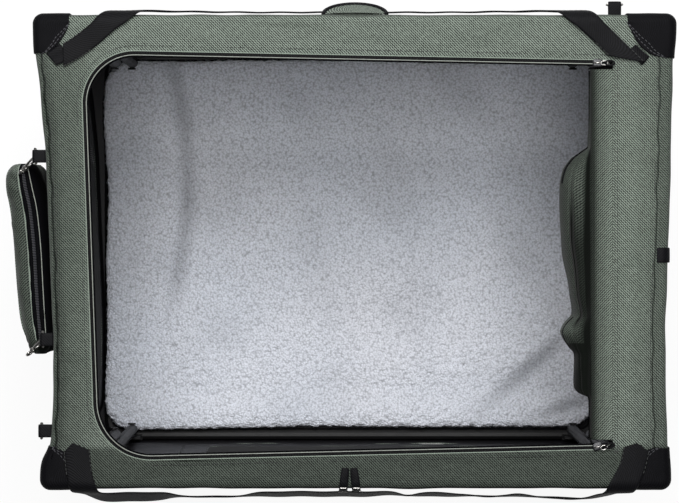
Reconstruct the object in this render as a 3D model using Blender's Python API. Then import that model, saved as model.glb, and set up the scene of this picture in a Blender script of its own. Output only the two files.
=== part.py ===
"""Soft folding dog crate: a fabric cover on a folding steel tube frame, with its top door open.

Metres, +Z up. X runs along the length, -Y is the front, and the origin lies on the floor under the middle.
The base loop and the top loop are joined by legs that fold inwards at their knees.
"""

import math

import bmesh
import bpy
import numpy as np
from mathutils import Matrix, Vector

# Cover, over all
LENGTH = 0.614
WIDTH = 0.457
HEIGHT = 0.533
END_BOW = 0.0156
CORNER_ROUND = 0.009
RIM_ROUND = 0.008
CLOTH = 0.002
GAP = 0.0003
OVERRUN = 0.004
TOP_SKIRT = 0.020
FLOOR_SKIRT = 0.030

# How the cover's ends are drawn in: places along the half width from front to back, then shares of the bow
LEFT_END_SHARES = [
    (-1.00, 0.28),
    (-0.93, 0.30),
    (-0.88, 0.44),
    (-0.81, 0.86),
    (-0.70, 0.97),
    (-0.58, 1.00),
    (-0.35, 1.00),
    (0.00, 0.80),
    (0.36, 0.57),
    (0.47, 0.50),
    (0.64, 0.27),
    (0.74, 0.11),
    (0.85, -0.10),
    (1.00, -0.18),
]
RIGHT_END_SHARES = [
    (-1.00, 0.21),
    (-0.90, 0.25),
    (-0.79, 0.36),
    (-0.58, 0.45),
    (-0.34, 0.46),
    (0.00, 0.30),
    (0.22, 0.20),
    (0.55, 0.08),
    (0.80, 0.02),
    (0.90, -0.08),
    (1.00, -0.12),
]

# Strips of the top round its doorway, from the cover's corners inwards
LEFT_STRIP_BACK = 0.043
LEFT_STRIP_FRONT = 0.057
RIGHT_STRIP = 0.059
BACK_STRIP_LEFT = 0.0345
BACK_STRIP_RIGHT = 0.0445
FRONT_STRIP_LEFT = 0.027
FRONT_STRIP_RIGHT = 0.0387
DOORWAY_ROUND_BACK = 0.050
DOORWAY_ROUND_FRONT = 0.056

# Steel tube frame
TUBE = 0.013
LOOP_ROUND = 0.0165
LEG_INSET = 0.052
PIVOT_RISE = 0.0315
LEG_END = 0.008
PIN = 0.005
PIN_HEAD = 0.009
HEAD_THICK = 0.0017
BRACKET_LENGTH = 0.020
BRACKET_EAR = 0.0025
BRACKET_WALL = 0.0025
LEG_SPACING = 0.0004

# Corner patches of heavier cloth
PATCH = 0.0012
PATCH_REACH_X = 0.037
PATCH_REACH_Y = 0.040
PATCH_ROUND = 0.022
PATCH_DEPTH = 0.042
FOOT_PATCH_HEIGHT = 0.052

# Doors and windows of the walls
FRONT_DOOR_FROM_END = 0.112
FRONT_DOOR_SILL = 0.055
FRONT_DOOR_BELOW_TOP = 0.027
FRONT_DOOR_ROUND = 0.060
END_WINDOW_FROM_CORNER = 0.0635
END_WINDOW_SILL = 0.046
END_WINDOW_BELOW_TOP = 0.063
END_WINDOW_ROUND = 0.045
MESH = 0.001

# Zips
ZIP_TAPE = 0.0058
ZIP_THICK = 0.0016
SLIDER_LENGTH = 0.010
SLIDER_WIDTH = 0.008
SLIDER_HEIGHT = 0.0035
SLIDER_FROM_SEAM = 0.0145
PULL_LENGTH = 0.0125
PULL_WIDTH = 0.005
PULL_ROUND_SHARE = 0.9
PULL_THICK = 0.0012
FRONT_PULL_WIDTH = 0.009
FRONT_PULL_UP = 0.0195
FRONT_PULL_SPACING = 0.013
FRONT_PULL_OFFSET = -0.005

# Top door, tucked in under the right strip
DOOR_CLOTH = 0.0024
DOOR_ROLL = 0.021
DOOR_ROLL_DEPTH = 0.020
DOOR_BUNCH = 0.027
DOOR_BUNCH_DEPTH = 0.066
DOOR_END_CLEARANCE = 0.0085
# Points of the tucked door's section, outwards from the seam: shares of its roll, its reach, its cloth and its depth
DOOR_OUT_SHARES = [
    (0.00, 0.00, 0.0, 0.0),
    (0.50, 0.00, 0.0, 0.0),
    (1.00, 0.00, -2.0, 0.0),
    (1.00, 0.00, -0.5, 0.0),
    (0.45, 0.55, 0.0, 0.0),
    (0.00, 1.00, 0.0, 0.0),
    (0.00, 0.98, 0.0, 0.0),
    (0.00, 0.84, 0.0, 0.0),
    (0.00, 0.62, 0.0, 0.0),
    (0.00, 0.42, 0.0, 0.0),
    (0.00, 0.33, 0.0, 0.0),
    (0.00, 0.36, 0.0, 0.0),
    (0.42, 0.00, 0.0, 0.0),
    (0.00, 0.00, 0.0, 0.0),
]
# The same points downwards from the top
DOOR_BELOW_SHARES = [
    (0.0, 0.0, 0.00, 0.00),
    (0.0, 0.0, 0.00, 0.00),
    (0.0, 0.0, 0.30, 0.00),
    (0.0, 0.0, 1.30, 0.00),
    (0.0, 0.0, 1.68, 0.16),
    (0.0, 0.0, 0.00, 0.42),
    (0.0, 0.0, 0.00, 0.66),
    (0.0, 0.0, 0.00, 0.90),
    (0.0, 0.0, 0.00, 1.00),
    (0.0, 0.0, 0.00, 0.94),
    (0.0, 0.0, 0.00, 0.66),
    (0.0, 0.0, 0.00, 0.36),
    (0.0, 0.0, 2.20, 0.00),
    (0.0, 0.0, 1.00, 0.00),
]
# Along the seam from front to back: place, bunch reach and bunch depth, each a share
DOOR_BUNCH_SHARES = [
    (0.00, 0.00, 0.00),
    (0.05, 0.02, 0.02),
    (0.12, 0.08, 0.12),
    (0.145, 0.46, 0.55),
    (0.20, 0.50, 0.72),
    (0.26, 0.56, 0.84),
    (0.30, 0.88, 0.93),
    (0.335, 0.42, 0.95),
    (0.40, 0.54, 0.97),
    (0.47, 0.72, 1.00),
    (0.54, 0.82, 0.98),
    (0.60, 0.94, 0.96),
    (0.66, 1.00, 0.92),
    (0.71, 0.97, 0.86),
    (0.75, 0.78, 0.74),
    (0.785, 0.44, 0.50),
    (0.81, 0.10, 0.18),
    (0.87, 0.03, 0.04),
    (0.94, 0.01, 0.01),
    (1.00, 0.00, 0.00),
]

# Carry straps of webbing, sewn to the corner patches
WEBBING = 0.0018
STRAP_WIDTH = 0.025
STRAP_LIFT = 0.0023
STRAP_SPAN = 0.307
STRAP_MIDDLE_SHARE = 0.6
# Places along the span, places across the rim (negative on top), lifts off the rim and tilts, each a share
STRAP_ACROSS = 0.050
STRAP_OUT = 0.010
STRAP_SEWN = {"front": 0.046, "back": 0.052}
FRONT_STRAP_SHARES = [
    (-0.872, -0.84, 0.00, 0.00),
    (-0.868, -0.54, 0.00, 0.00),
    (-0.862, -0.24, 0.06, 0.00),
    (-0.850, 0.04, 0.32, 0.00),
    (-0.828, 0.34, 0.55, 0.10),
    (-0.785, 0.58, 0.66, 0.30),
    (-0.70, 0.66, 0.75, 0.36),
    (-0.60, 0.62, 0.80, 0.30),
    (-0.48, 0.58, 0.95, 0.24),
    (-0.38, 0.56, 0.95, 0.24),
    (-0.25, 0.55, 0.72, 0.28),
    (-0.10, 0.56, 0.74, 0.30),
    (0.05, 0.56, 0.76, 0.30),
    (0.20, 0.56, 0.80, 0.28),
    (0.36, 0.60, 0.92, 0.24),
    (0.50, 0.62, 0.98, 0.26),
    (0.62, 0.64, 0.95, 0.30),
    (0.70, 0.60, 0.86, 0.28),
    (0.77, 0.46, 0.66, 0.12),
    (0.812, 0.22, 0.42, 0.00),
    (0.842, -0.06, 0.14, 0.00),
    (0.864, -0.34, 0.00, 0.00),
    (0.876, -0.60, 0.00, 0.00),
    (0.882, -0.84, 0.00, 0.00),
]
BACK_STRAP_SHARES = [
    (-0.946, -0.83, 0.00, 0.00),
    (-0.890, -0.57, 0.00, 0.00),
    (-0.826, -0.30, 0.00, 0.00),
    (-0.760, -0.04, 0.04, 0.00),
    (-0.700, 0.24, 0.08, 0.00),
    (-0.62, 0.52, 0.12, 0.04),
    (-0.48, 0.88, 0.20, 0.06),
    (-0.30, 1.18, 0.25, 0.08),
    (-0.10, 1.34, 0.30, 0.10),
    (0.10, 1.34, 0.30, 0.10),
    (0.30, 1.18, 0.25, 0.08),
    (0.48, 0.86, 0.20, 0.06),
    (0.60, 0.50, 0.12, 0.04),
    (0.676, 0.24, 0.08, 0.00),
    (0.740, -0.04, 0.04, 0.00),
    (0.798, -0.30, 0.00, 0.00),
    (0.854, -0.57, 0.00, 0.00),
    (0.906, -0.81, 0.00, 0.00),
]

# Rear grab tab
GRAB_WIDTH = 0.064
GRAB_REACH = 0.024
GRAB_THICK = 0.004
GRAB_DROOP = math.radians(60)
GRAB_BELOW_TOP = 0.007

# Webbing tabs and D-rings
TAB_WIDTH = 0.012
TAB_REACH = 0.010
TAB_THICK = 0.0024
TAB_EYE = 0.0033
RING_WIRE = 0.0024
RING_BAR = 0.015
RING_DROP = 0.011
RING_BAR_SHARES = (0.4, -0.4)
RING_CLEARANCE = 0.0006
TAB_BELOW_TOP = 0.013
FRONT_TAB_FROM_CORNER = 0.0551
BACK_TAB_FROM_CORNER = 0.056
SIDE_TAB_PLACE = -0.0034
SIDE_TAB_WIDTH = 0.0135
SIDE_TAB_THICK = 0.0016

# Hooks and pouch
HOOK_WIRE = 0.0022
HOOK_LENGTH = 0.026
HOOK_WIDTH = 0.010
HOOK_HEADINGS = {"back": (-0.64, -0.50, -0.36), "front": (-0.64, -0.50, -0.36)}
HOOK_INSIDE = 0.0036
POUCH_LENGTH = 0.186
POUCH_HEIGHT = 0.098
POUCH_THICK = 0.034
POUCH_BELOW_TOP = 0.0343
POUCH_MIDDLE = -0.0074
POUCH_CLEARANCE = 0.0005
POUCH_SOFT_SHARE = 0.7
POUCH_BACK_TAB_BEYOND = 0.0065
POUCH_FRONT_TAB_WITHIN = 0.0155
# Along the pouch from front to back: place, thickness, how far its inner side stands off, height, each a share
POUCH_SHARES = [
    (0.000, 0.20, 0.30, 0.84),
    (0.030, 0.44, 0.16, 0.94),
    (0.090, 0.66, 0.04, 0.98),
    (0.200, 0.84, 0.00, 1.00),
    (0.350, 0.96, 0.00, 1.00),
    (0.500, 1.00, 0.00, 1.00),
    (0.650, 1.00, 0.03, 1.00),
    (0.780, 0.96, 0.09, 1.00),
    (0.880, 0.90, 0.19, 0.99),
    (0.950, 0.76, 0.30, 0.96),
    (0.985, 0.50, 0.42, 0.92),
    (1.000, 0.24, 0.54, 0.82),
]

# Fleece mat
MAT_FROM_END = 0.020
MAT_FROM_SIDE = 0.0125
MAT_ROUND = 0.034
MAT_EDGE = 0.0100
MAT_MIDDLE = 0.0140
MAT_SHIFT = 0.0030
MAT_EDGE_GAP = 0.0003
# Rings of the mat from its middle outwards: place, then how far its underside has risen onto the tubes
MAT_RING_SHARES = [
    (0.20, 0.00),
    (0.45, 0.00),
    (0.66, 0.00),
    (0.76, 0.10),
    (0.83, 0.45),
    (0.89, 0.90),
    (0.94, 1.00),
    (0.98, 1.00),
]
MAT_LIP_SHARE = 0.3

# Counts
CORNER_STEPS = 3
STRAP_STEPS = 3
BOW_STEPS = 36
BOW_SMOOTH_STEPS = 6
RIM_STEPS = 3
TUBE_SIDES = 10
WIRE_SIDES = 6

# Worked out from the sizes above
HALF_LENGTH = LENGTH / 2
HALF_WIDTH = WIDTH / 2
LOOP_X = HALF_LENGTH - END_BOW - CLOTH - GAP - TUBE / 2
LOOP_Y = HALF_WIDTH - CLOTH - GAP - TUBE / 2
BASE_LOOP_Z = CLOTH + GAP + TUBE / 2
TOP_LOOP_Z = HEIGHT - CLOTH - GAP - TUBE / 2
LEG_X = HALF_LENGTH - LEG_INSET
BASE_EAR_Y = LOOP_Y
LOWER_LEG_Y = BASE_EAR_Y - GAP - TUBE / 2
UPPER_LEG_Y = LOWER_LEG_Y - TUBE - LEG_SPACING
TOP_EAR_Y = UPPER_LEG_Y + TUBE / 2 + GAP
BASE_PIVOT_Z = BASE_LOOP_Z + PIVOT_RISE
TOP_PIVOT_Z = TOP_LOOP_Z - PIVOT_RISE
KNEE_Z = (BASE_PIVOT_Z + TOP_PIVOT_Z) / 2
SEAM_X = HALF_LENGTH - RIGHT_STRIP
WALL_LOW = FLOOR_SKIRT + GAP
FRONT_DOOR_WIDTH = LENGTH - 2 * FRONT_DOOR_FROM_END
FRONT_DOOR_HEAD = HEIGHT - FRONT_DOOR_BELOW_TOP
END_WINDOW_WIDTH = WIDTH - 2 * END_WINDOW_FROM_CORNER
END_WINDOW_HEAD = HEIGHT - END_WINDOW_BELOW_TOP
WALL_HIGH = HEIGHT - TOP_SKIRT - GAP
BRACKET_TOP = TUBE / 2 + BRACKET_WALL
RIM_ARC = RIM_ROUND * math.pi / 4
TAB_Z = HEIGHT - TAB_BELOW_TOP
EYE_REACH = GAP + TAB_REACH
STRAP_PIVOT_Z = HEIGHT + STRAP_LIFT
PULL_PIVOT_Z = HEIGHT + SLIDER_HEIGHT + GAP + PULL_THICK / 2
MAT_LENGTH = LENGTH - 2 * MAT_FROM_END
MAT_WIDTH = WIDTH - 2 * MAT_FROM_SIDE
FRONT_TAB_PLACE = FRONT_TAB_FROM_CORNER - HALF_WIDTH
BACK_TAB_PLACE = HALF_LENGTH - BACK_TAB_FROM_CORNER
POUCH_BACK_TAB = POUCH_MIDDLE + POUCH_LENGTH / 2 + POUCH_BACK_TAB_BEYOND
POUCH_FRONT_TAB = POUCH_MIDDLE - POUCH_LENGTH / 2 + POUCH_FRONT_TAB_WITHIN


def clear_scene():
    """Remove every object of the open scene."""
    for thing in list(bpy.data.objects):
        bpy.data.objects.remove(thing, do_unlink=True)


def make_material(name, colour, roughness, metallic=0.0):
    """One Principled material."""
    material = bpy.data.materials.new(name)
    material.use_nodes = True
    shader = material.node_tree.nodes["Principled BSDF"]
    shader.inputs["Base Color"].default_value = (*colour, 1.0)
    shader.inputs["Roughness"].default_value = roughness
    shader.inputs["Metallic"].default_value = metallic
    material.diffuse_color = (*colour, 1.0)
    return material


def make_materials():
    """The crate's materials, by name."""
    return {
        "cover": make_material("green_polyester", (0.10, 0.13, 0.10), 0.75),
        "patch": make_material("black_polyester", (0.012, 0.012, 0.014), 0.7),
        "mesh": make_material("black_netting", (0.015, 0.015, 0.016), 0.8),
        "webbing": make_material("black_webbing", (0.014, 0.014, 0.015), 0.8),
        "zip": make_material("black_zip", (0.01, 0.01, 0.01), 0.5),
        "fleece": make_material("grey_fleece", (0.62, 0.63, 0.68), 0.95),
        "tube": make_material("black_powder_coat", (0.02, 0.02, 0.022), 0.4, 0.2),
        "bracket": make_material("black_nylon", (0.02, 0.02, 0.02), 0.5),
        "nickel": make_material("nickel_plate", (0.66, 0.65, 0.63), 0.3, 1.0),
    }


def mesh_of(points, faces):
    """A closed mesh with its doubled points merged and its faces pointing out."""
    mesh = bpy.data.meshes.new("shape")
    mesh.from_pydata([tuple(map(float, p)) for p in points], [], faces)
    shape = bmesh.new()
    shape.from_mesh(mesh)
    bmesh.ops.remove_doubles(shape, verts=shape.verts, dist=GAP / 100)
    bmesh.ops.recalc_face_normals(shape, faces=shape.faces)
    shape.to_mesh(mesh)
    shape.free()
    return mesh


def stacked(rings, closed=False):
    """A skin over rings of as many points each: capped at both ends, or closed on itself."""
    count = len(rings[0])
    faces = []
    for k in range(len(rings) if closed else len(rings) - 1):
        low = k * count
        high = (k + 1) % len(rings) * count
        for i in range(count):
            j = (i + 1) % count
            faces.append((low + i, low + j, high + j, high + i))
    if not closed:
        last = (len(rings) - 1) * count
        faces.append(tuple(range(count)))
        faces.append(tuple(last + i for i in reversed(range(count))))
    return mesh_of(np.concatenate([np.asarray(r, float) for r in rings]), faces)


def at_height(outline, z):
    """A plan outline lifted to height z."""
    return [(x, y, z) for x, y in outline]


def prism(outline, low, high, axis="Z"):
    """An outline carried along X, Y or Z. It is drawn in YZ, XZ or XY."""
    order = {"X": lambda u, v, w: (w, u, v), "Y": lambda u, v, w: (u, w, v), "Z": lambda u, v, w: (u, v, w)}
    place = order[axis]
    return stacked([[place(u, v, w) for u, v in outline] for w in (low, high)])


def box(low, high):
    """A box between two corners."""
    outline = [(low[0], low[1]), (high[0], low[1]), (high[0], high[1]), (low[0], high[1])]
    return prism(outline, low[2], high[2])


def circle(radius, sides, centre=(0.0, 0.0)):
    """Points of a circle."""
    turns = np.arange(sides) * 2 * math.pi / sides
    return [(centre[0] + radius * math.cos(a), centre[1] + radius * math.sin(a)) for a in turns]


def combined(solid, tool, operation):
    """UNION, DIFFERENCE or INTERSECT of two meshes, exactly."""
    first = bpy.data.objects.new("first", solid)
    second = bpy.data.objects.new("second", tool)
    for thing in (first, second):
        bpy.context.collection.objects.link(thing)
    step = first.modifiers.new("combine", "BOOLEAN")
    step.operation = operation
    step.solver = "EXACT"
    step.object = second
    mesh = bpy.data.meshes.new_from_object(first.evaluated_get(bpy.context.evaluated_depsgraph_get()))
    for thing in (first, second):
        bpy.data.objects.remove(thing, do_unlink=True)
    return mesh


def moved(mesh, turn=None, place=None):
    """Turn a mesh about the origin, then shift it."""
    if turn is not None:
        mesh.transform(turn)
    if place is not None:
        mesh.transform(Matrix.Translation(Vector(place)))
    return mesh


def curve_through(points, per_span):
    """A smooth curve through points of any dimension: cubic spans with the neighbours' mean slope."""
    points = np.asarray(points, float)
    slopes = np.gradient(points, axis=0)
    steps = np.linspace(0, 1, per_span, endpoint=False)[:, None]
    spans = []
    for a, b, m, n in zip(points[:-1], points[1:], slopes[:-1], slopes[1:]):
        spans.append(
            (2 * steps**3 - 3 * steps**2 + 1) * a
            + (steps**3 - 2 * steps**2 + steps) * m
            + (3 * steps**2 - 2 * steps**3) * b
            + (steps**3 - steps**2) * n
        )
    return np.concatenate(spans + [points[-1:]])


def swept(path, radius, sides, up, closed=False):
    """A round rod along a path; up is a direction that the path never takes."""
    path = np.asarray(path, float)
    if closed:
        ahead = np.roll(path, -1, axis=0) - np.roll(path, 1, axis=0)
    else:
        ahead = np.gradient(path, axis=0)
    ahead /= np.linalg.norm(ahead, axis=1)[:, None]
    side = np.cross(ahead, np.asarray(up, float))
    side /= np.linalg.norm(side, axis=1)[:, None]
    rise = np.cross(side, ahead)
    rings = []
    for p, s, r in zip(path, side, rise):
        rings.append([p + u * s + v * r for u, v in circle(radius, sides)])
    return stacked(rings, closed)


def carrier(name, place, parent=None):
    """An empty on a joint's axis, which carries the pieces of one moving body."""
    empty = bpy.data.objects.new(name, None)
    bpy.context.collection.objects.link(empty)
    empty["place"] = [float(v) for v in place]
    empty.location = Vector(place) - Vector(parent["place"]) if parent else Vector(place)
    empty.parent = parent
    return empty


def add_part(name, mesh, material, parent, smooth=False):
    """Link a mesh, drawn where it belongs in the crate, under its body's empty."""
    mesh.name = name
    mesh.materials.clear()
    mesh.materials.append(material)
    if smooth:
        mesh.shade_smooth()
        mesh.set_sharp_from_angle(angle=math.radians(40))
    part = bpy.data.objects.new(name, mesh)
    bpy.context.collection.objects.link(part)
    part.parent = parent
    part.location = -Vector(parent["place"])
    return part


def cover_outline(offset=0.0):
    """Plan of the cover grown by offset, anticlockwise: round corners, straight sides and ends drawn in."""
    return half_outline(1, offset) + [(-x, y) for x, y in reversed(half_outline(-1, offset))]


def half_outline(side, offset):
    """The outline's left (-1) or right (1) half from front to back, with its places along X counted outwards."""
    reach = HALF_WIDTH - CORNER_ROUND
    radius = CORNER_ROUND + offset
    turns = np.linspace(0, math.pi / 2, CORNER_STEPS + 1)
    front_x, back_x = end_x(side, -reach) - CORNER_ROUND, end_x(side, reach) - CORNER_ROUND
    half = [(front_x + radius * math.sin(a), -reach - radius * math.cos(a)) for a in turns]
    for share in np.linspace(-1, 1, BOW_STEPS + 1)[1:-1]:
        half.append((end_x(side, share * reach) + offset, share * reach))
    return half + [(back_x + radius * math.cos(a), reach + radius * math.sin(a)) for a in turns]


def end_x(side, y):
    """How far out the cover's left (-1) or right (1) end is at a place along it."""
    table = curve_through(LEFT_END_SHARES if side < 0 else RIGHT_END_SHARES, BOW_SMOOTH_STEPS)
    return float(HALF_LENGTH - END_BOW * np.interp(y / HALF_WIDTH, table[:, 0], table[:, 1]))


def outermost(side, y, half):
    """How far out an end is beside something that is twice half wide."""
    return max(end_x(side, y - half), end_x(side, y), end_x(side, y + half))


def rounded(corners, radii, steps):
    """An outline with its corners rounded: an arc at each corner that has a radius."""
    points = []
    for i, (corner, radius) in enumerate(zip(corners, radii)):
        here = Vector(corner)
        before = (Vector(corners[i - 1]) - here).normalized()
        after = (Vector(corners[(i + 1) % len(corners)]) - here).normalized()
        if radius <= 0:
            points.append(tuple(here))
            continue
        half = before.angle(after) / 2
        centre = here + (before + after).normalized() * radius / math.sin(half)
        start = here + before * radius / math.tan(half) - centre
        turn = math.pi - 2 * half
        if start.x * (here - centre).y - start.y * (here - centre).x < 0:
            turn = -turn
        for k in range(steps + 1):
            a = turn * k / steps
            points.append(
                (
                    centre.x + start.x * math.cos(a) - start.y * math.sin(a),
                    centre.y + start.x * math.sin(a) + start.y * math.cos(a),
                )
            )
    return points


def doorway(inset=0.0, steps=7):
    """The top doorway's edge from the seam's back end round the left to its front end, drawn in by inset."""
    back_left = Vector((-HALF_LENGTH + LEFT_STRIP_BACK, HALF_WIDTH - BACK_STRIP_LEFT))
    front_left = Vector((-HALF_LENGTH + LEFT_STRIP_FRONT, -HALF_WIDTH + FRONT_STRIP_LEFT))
    front_right = Vector((SEAM_X, -HALF_WIDTH + FRONT_STRIP_RIGHT))
    back_right = Vector((SEAM_X, HALF_WIDTH - BACK_STRIP_RIGHT))
    corners = [back_right, back_left, front_left, front_right]
    radii = [0.0, DOORWAY_ROUND_BACK, DOORWAY_ROUND_FRONT, 0.0]
    points = [Vector(p) for p in rounded(corners, radii, steps)]
    drawn = []
    for i, point in enumerate(points):
        before = points[max(i - 1, 0)]
        after = points[min(i + 1, len(points) - 1)]
        along = (after - before).normalized()
        drawn.append((point.x - along.y * inset, point.y + along.x * inset))
    return drawn


def cap_rings(offset, depth):
    """Rings of the crate's top grown by offset, from its flat top down over the round rim."""
    rings = []
    for a in np.linspace(math.pi / 2, 0, RIM_STEPS + 1):
        radius = RIM_ROUND + offset
        inwards = RIM_ROUND - radius * math.cos(a)
        rings.append(at_height(cover_outline(-inwards), HEIGHT - RIM_ROUND + radius * math.sin(a)))
    rings.append(at_height(cover_outline(offset), HEIGHT - depth))
    return rings


def build_top_panel(materials, parent):
    """The cover's top: a sheet with a turned-down skirt and the doorway cut in it."""
    outer = cap_rings(0.0, TOP_SKIRT)
    inner = cap_rings(-CLOTH, TOP_SKIRT)
    shell = stacked(outer + inner[::-1])
    cutter = prism(doorway(), HEIGHT - TOP_SKIRT, HEIGHT + OVERRUN)
    add_part("top_panel", combined(shell, cutter, "DIFFERENCE"), materials["cover"], parent)


def build_top_zip(materials, parent):
    """Zip tape along the doorway's three free sides."""
    outline = doorway(GAP) + doorway(ZIP_TAPE)[::-1]
    add_part("top_zip", prism(outline, HEIGHT - ZIP_THICK, HEIGHT), materials["zip"], parent)


def build_floor_panel(materials, parent):
    """The cover's floor with its turned-up skirt."""
    rings = [
        at_height(cover_outline(), 0.0),
        at_height(cover_outline(), FLOOR_SKIRT),
        at_height(cover_outline(-CLOTH), FLOOR_SKIRT),
        at_height(cover_outline(-CLOTH), CLOTH),
    ]
    add_part("floor_panel", stacked(rings), materials["cover"], parent)


def opening_outline(width, sill, head, radius, shrink=0.0):
    """A door or window drawn on its wall: round at the head and half as round at the sill."""
    half = width / 2 - shrink
    low = sill + shrink
    high = head - shrink
    corners = [(-half, low), (half, low), (half, high), (-half, high)]
    return rounded(corners, [radius / 2, radius / 2, radius, radius], 4)


def side_wall(side, inset=0.0, thick=CLOTH):
    """The front or back wall with the crate's two round corners: side is -1 or 1."""
    outer = cover_outline(-inset)
    inner = cover_outline(-inset - thick)
    keep = [i for i, (_, y) in enumerate(outer) if y * side >= HALF_WIDTH - CORNER_ROUND - GAP]
    start = next(i for i in keep if (i - 1) % len(outer) not in keep)
    order = [(start + k) % len(outer) for k in range(len(keep))]
    outline = [outer[i] for i in order] + [inner[i] for i in reversed(order)]
    return prism(outline, WALL_LOW, WALL_HIGH)


def end_wall(side, inset=0.0, thick=CLOTH):
    """The left or right wall between the crate's round corners: side is -1 or 1."""
    reach = HALF_WIDTH - CORNER_ROUND - GAP
    places = np.linspace(-reach, reach, BOW_STEPS + 1)
    outer = [(side * (end_x(side, y) - inset), y) for y in places]
    inner = [(side * (end_x(side, y) - inset - thick), y) for y in reversed(places)]
    return prism(outer + inner, WALL_LOW, WALL_HIGH)


def build_walls(materials, parent, door_parent):
    """Four walls, the front door and the end windows."""
    door = (FRONT_DOOR_WIDTH, FRONT_DOOR_SILL, FRONT_DOOR_HEAD, FRONT_DOOR_ROUND)
    window = (END_WINDOW_WIDTH, END_WINDOW_SILL, END_WINDOW_HEAD, END_WINDOW_ROUND)
    past = HALF_WIDTH + OVERRUN
    within = HALF_WIDTH - CLOTH - OVERRUN
    hole = prism(opening_outline(*door), -past, -within, "Y")
    add_part("front_wall", combined(side_wall(-1), hole, "DIFFERENCE"), materials["cover"], parent)
    leaf = prism(opening_outline(*door, GAP), -HALF_WIDTH, -HALF_WIDTH + CLOTH, "Y")
    add_part("front_door", leaf, materials["mesh"], door_parent)
    add_part("back_wall", side_wall(1), materials["cover"], parent)
    for name, side in (("left", -1), ("right", 1)):
        near = side * (HALF_LENGTH - END_BOW - CLOTH - OVERRUN)
        far = side * (HALF_LENGTH + OVERRUN)
        hole = prism(opening_outline(*window), min(near, far), max(near, far), "X")
        wall = combined(end_wall(side), hole, "DIFFERENCE")
        add_part(f"{name}_wall", wall, materials["cover"], parent)
        pane = prism(opening_outline(*window, GAP), min(near, far), max(near, far), "X")
        net = combined(end_wall(side, (CLOTH - MESH) / 2, MESH), pane, "INTERSECT")
        add_part(f"{name}_window", net, materials["mesh"], parent)


def build_patches(materials, parent, foot_parent):
    """Corner patches: four over the top's corners and four round the foot of the vertical corners."""
    inner = PATCH + GAP
    for name, sx, sy in (("left_front", -1, -1), ("right_front", 1, -1), ("right_back", 1, 1), ("left_back", -1, 1)):
        shell = combined(
            stacked(cap_rings(inner, PATCH_DEPTH)), stacked(cap_rings(GAP, PATCH_DEPTH + OVERRUN)), "DIFFERENCE"
        )
        near_x = sx * (HALF_LENGTH - PATCH_REACH_X)
        near_y = sy * (HALF_WIDTH - PATCH_REACH_Y)
        far_x = sx * (HALF_LENGTH + OVERRUN)
        far_y = sy * (HALF_WIDTH + OVERRUN)
        corners = [(near_x, near_y), (far_x, near_y), (far_x, far_y), (near_x, far_y)]
        zone = prism(rounded(corners, [PATCH_ROUND, 0, 0, 0], 5), 0.0, HEIGHT + OVERRUN)
        add_part(f"{name}_top_patch", combined(shell, zone, "INTERSECT"), materials["patch"], parent)
        ring = combined(
            prism(cover_outline(inner), 0.0, FOOT_PATCH_HEIGHT),
            prism(cover_outline(GAP), -OVERRUN, FOOT_PATCH_HEIGHT + OVERRUN),
            "DIFFERENCE",
        )
        low = (min(near_x, far_x), min(near_y, far_y), -OVERRUN)
        high = (max(near_x, far_x), max(near_y, far_y), FOOT_PATCH_HEIGHT + OVERRUN)
        add_part(f"{name}_foot_patch", combined(ring, box(low, high), "INTERSECT"), materials["patch"], foot_parent)


def loop_path(z):
    """A round-cornered rectangle for the base and top tubes."""
    corners = [(-LOOP_X, -LOOP_Y), (LOOP_X, -LOOP_Y), (LOOP_X, LOOP_Y), (-LOOP_X, LOOP_Y)]
    return at_height(rounded(corners, [LOOP_ROUND] * 4, 4), z)


def build_frames(materials, base, top):
    """The base loop and the top loop of tube."""
    for name, z, parent in (("base_frame", BASE_LOOP_Z, base), ("top_frame", TOP_LOOP_Z, top)):
        loop = swept(loop_path(z), TUBE / 2, TUBE_SIDES, (0, 0, 1), closed=True)
        add_part(name, loop, materials["tube"], parent, smooth=True)


def bracket_mesh(sx, sy, loop_z, rise, ear_y, leg_y):
    """A saddle on a side tube with an ear and a riveted pin for one leg; rise is 1 upwards or -1 downwards."""
    x = sx * LEG_X
    low_x, high_x = x - BRACKET_LENGTH / 2, x + BRACKET_LENGTH / 2
    outer_y = LOOP_Y + TUBE / 2
    saddle = box_between((low_x, sy * ear_y, loop_z), (high_x, sy * outer_y, loop_z + rise * BRACKET_TOP))
    groove = prism(circle(TUBE / 2 + GAP, TUBE_SIDES, (sy * LOOP_Y, loop_z)), low_x - OVERRUN, high_x + OVERRUN, "X")
    saddle = combined(saddle, groove, "DIFFERENCE")
    pivot_z = loop_z + rise * PIVOT_RISE
    root_z = loop_z + rise * (BRACKET_TOP - BRACKET_WALL / 2)
    ear = box_between(
        (low_x, sy * ear_y, root_z), (high_x, sy * (ear_y + BRACKET_EAR), pivot_z + rise * PIN_HEAD)
    )
    bracket = combined(saddle, ear, "UNION")
    inner_y = leg_y - TUBE / 2 - GAP
    pin = y_rod(PIN / 2, x, pivot_z, sy * (ear_y + BRACKET_EAR / 2), sy * (inner_y - HEAD_THICK / 2))
    head = y_rod(PIN_HEAD / 2, x, pivot_z, sy * inner_y, sy * (inner_y - HEAD_THICK))
    return combined(combined(bracket, pin, "UNION"), head, "UNION")


def box_between(a, b):
    """A box between two opposite corners, in any order."""
    return box(tuple(map(min, a, b)), tuple(map(max, a, b)))


def y_rod(radius, x, z, y_from, y_to):
    """A rod along Y."""
    return prism(circle(radius, TUBE_SIDES, (x, z)), min(y_from, y_to), max(y_from, y_to), "Y")


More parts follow.
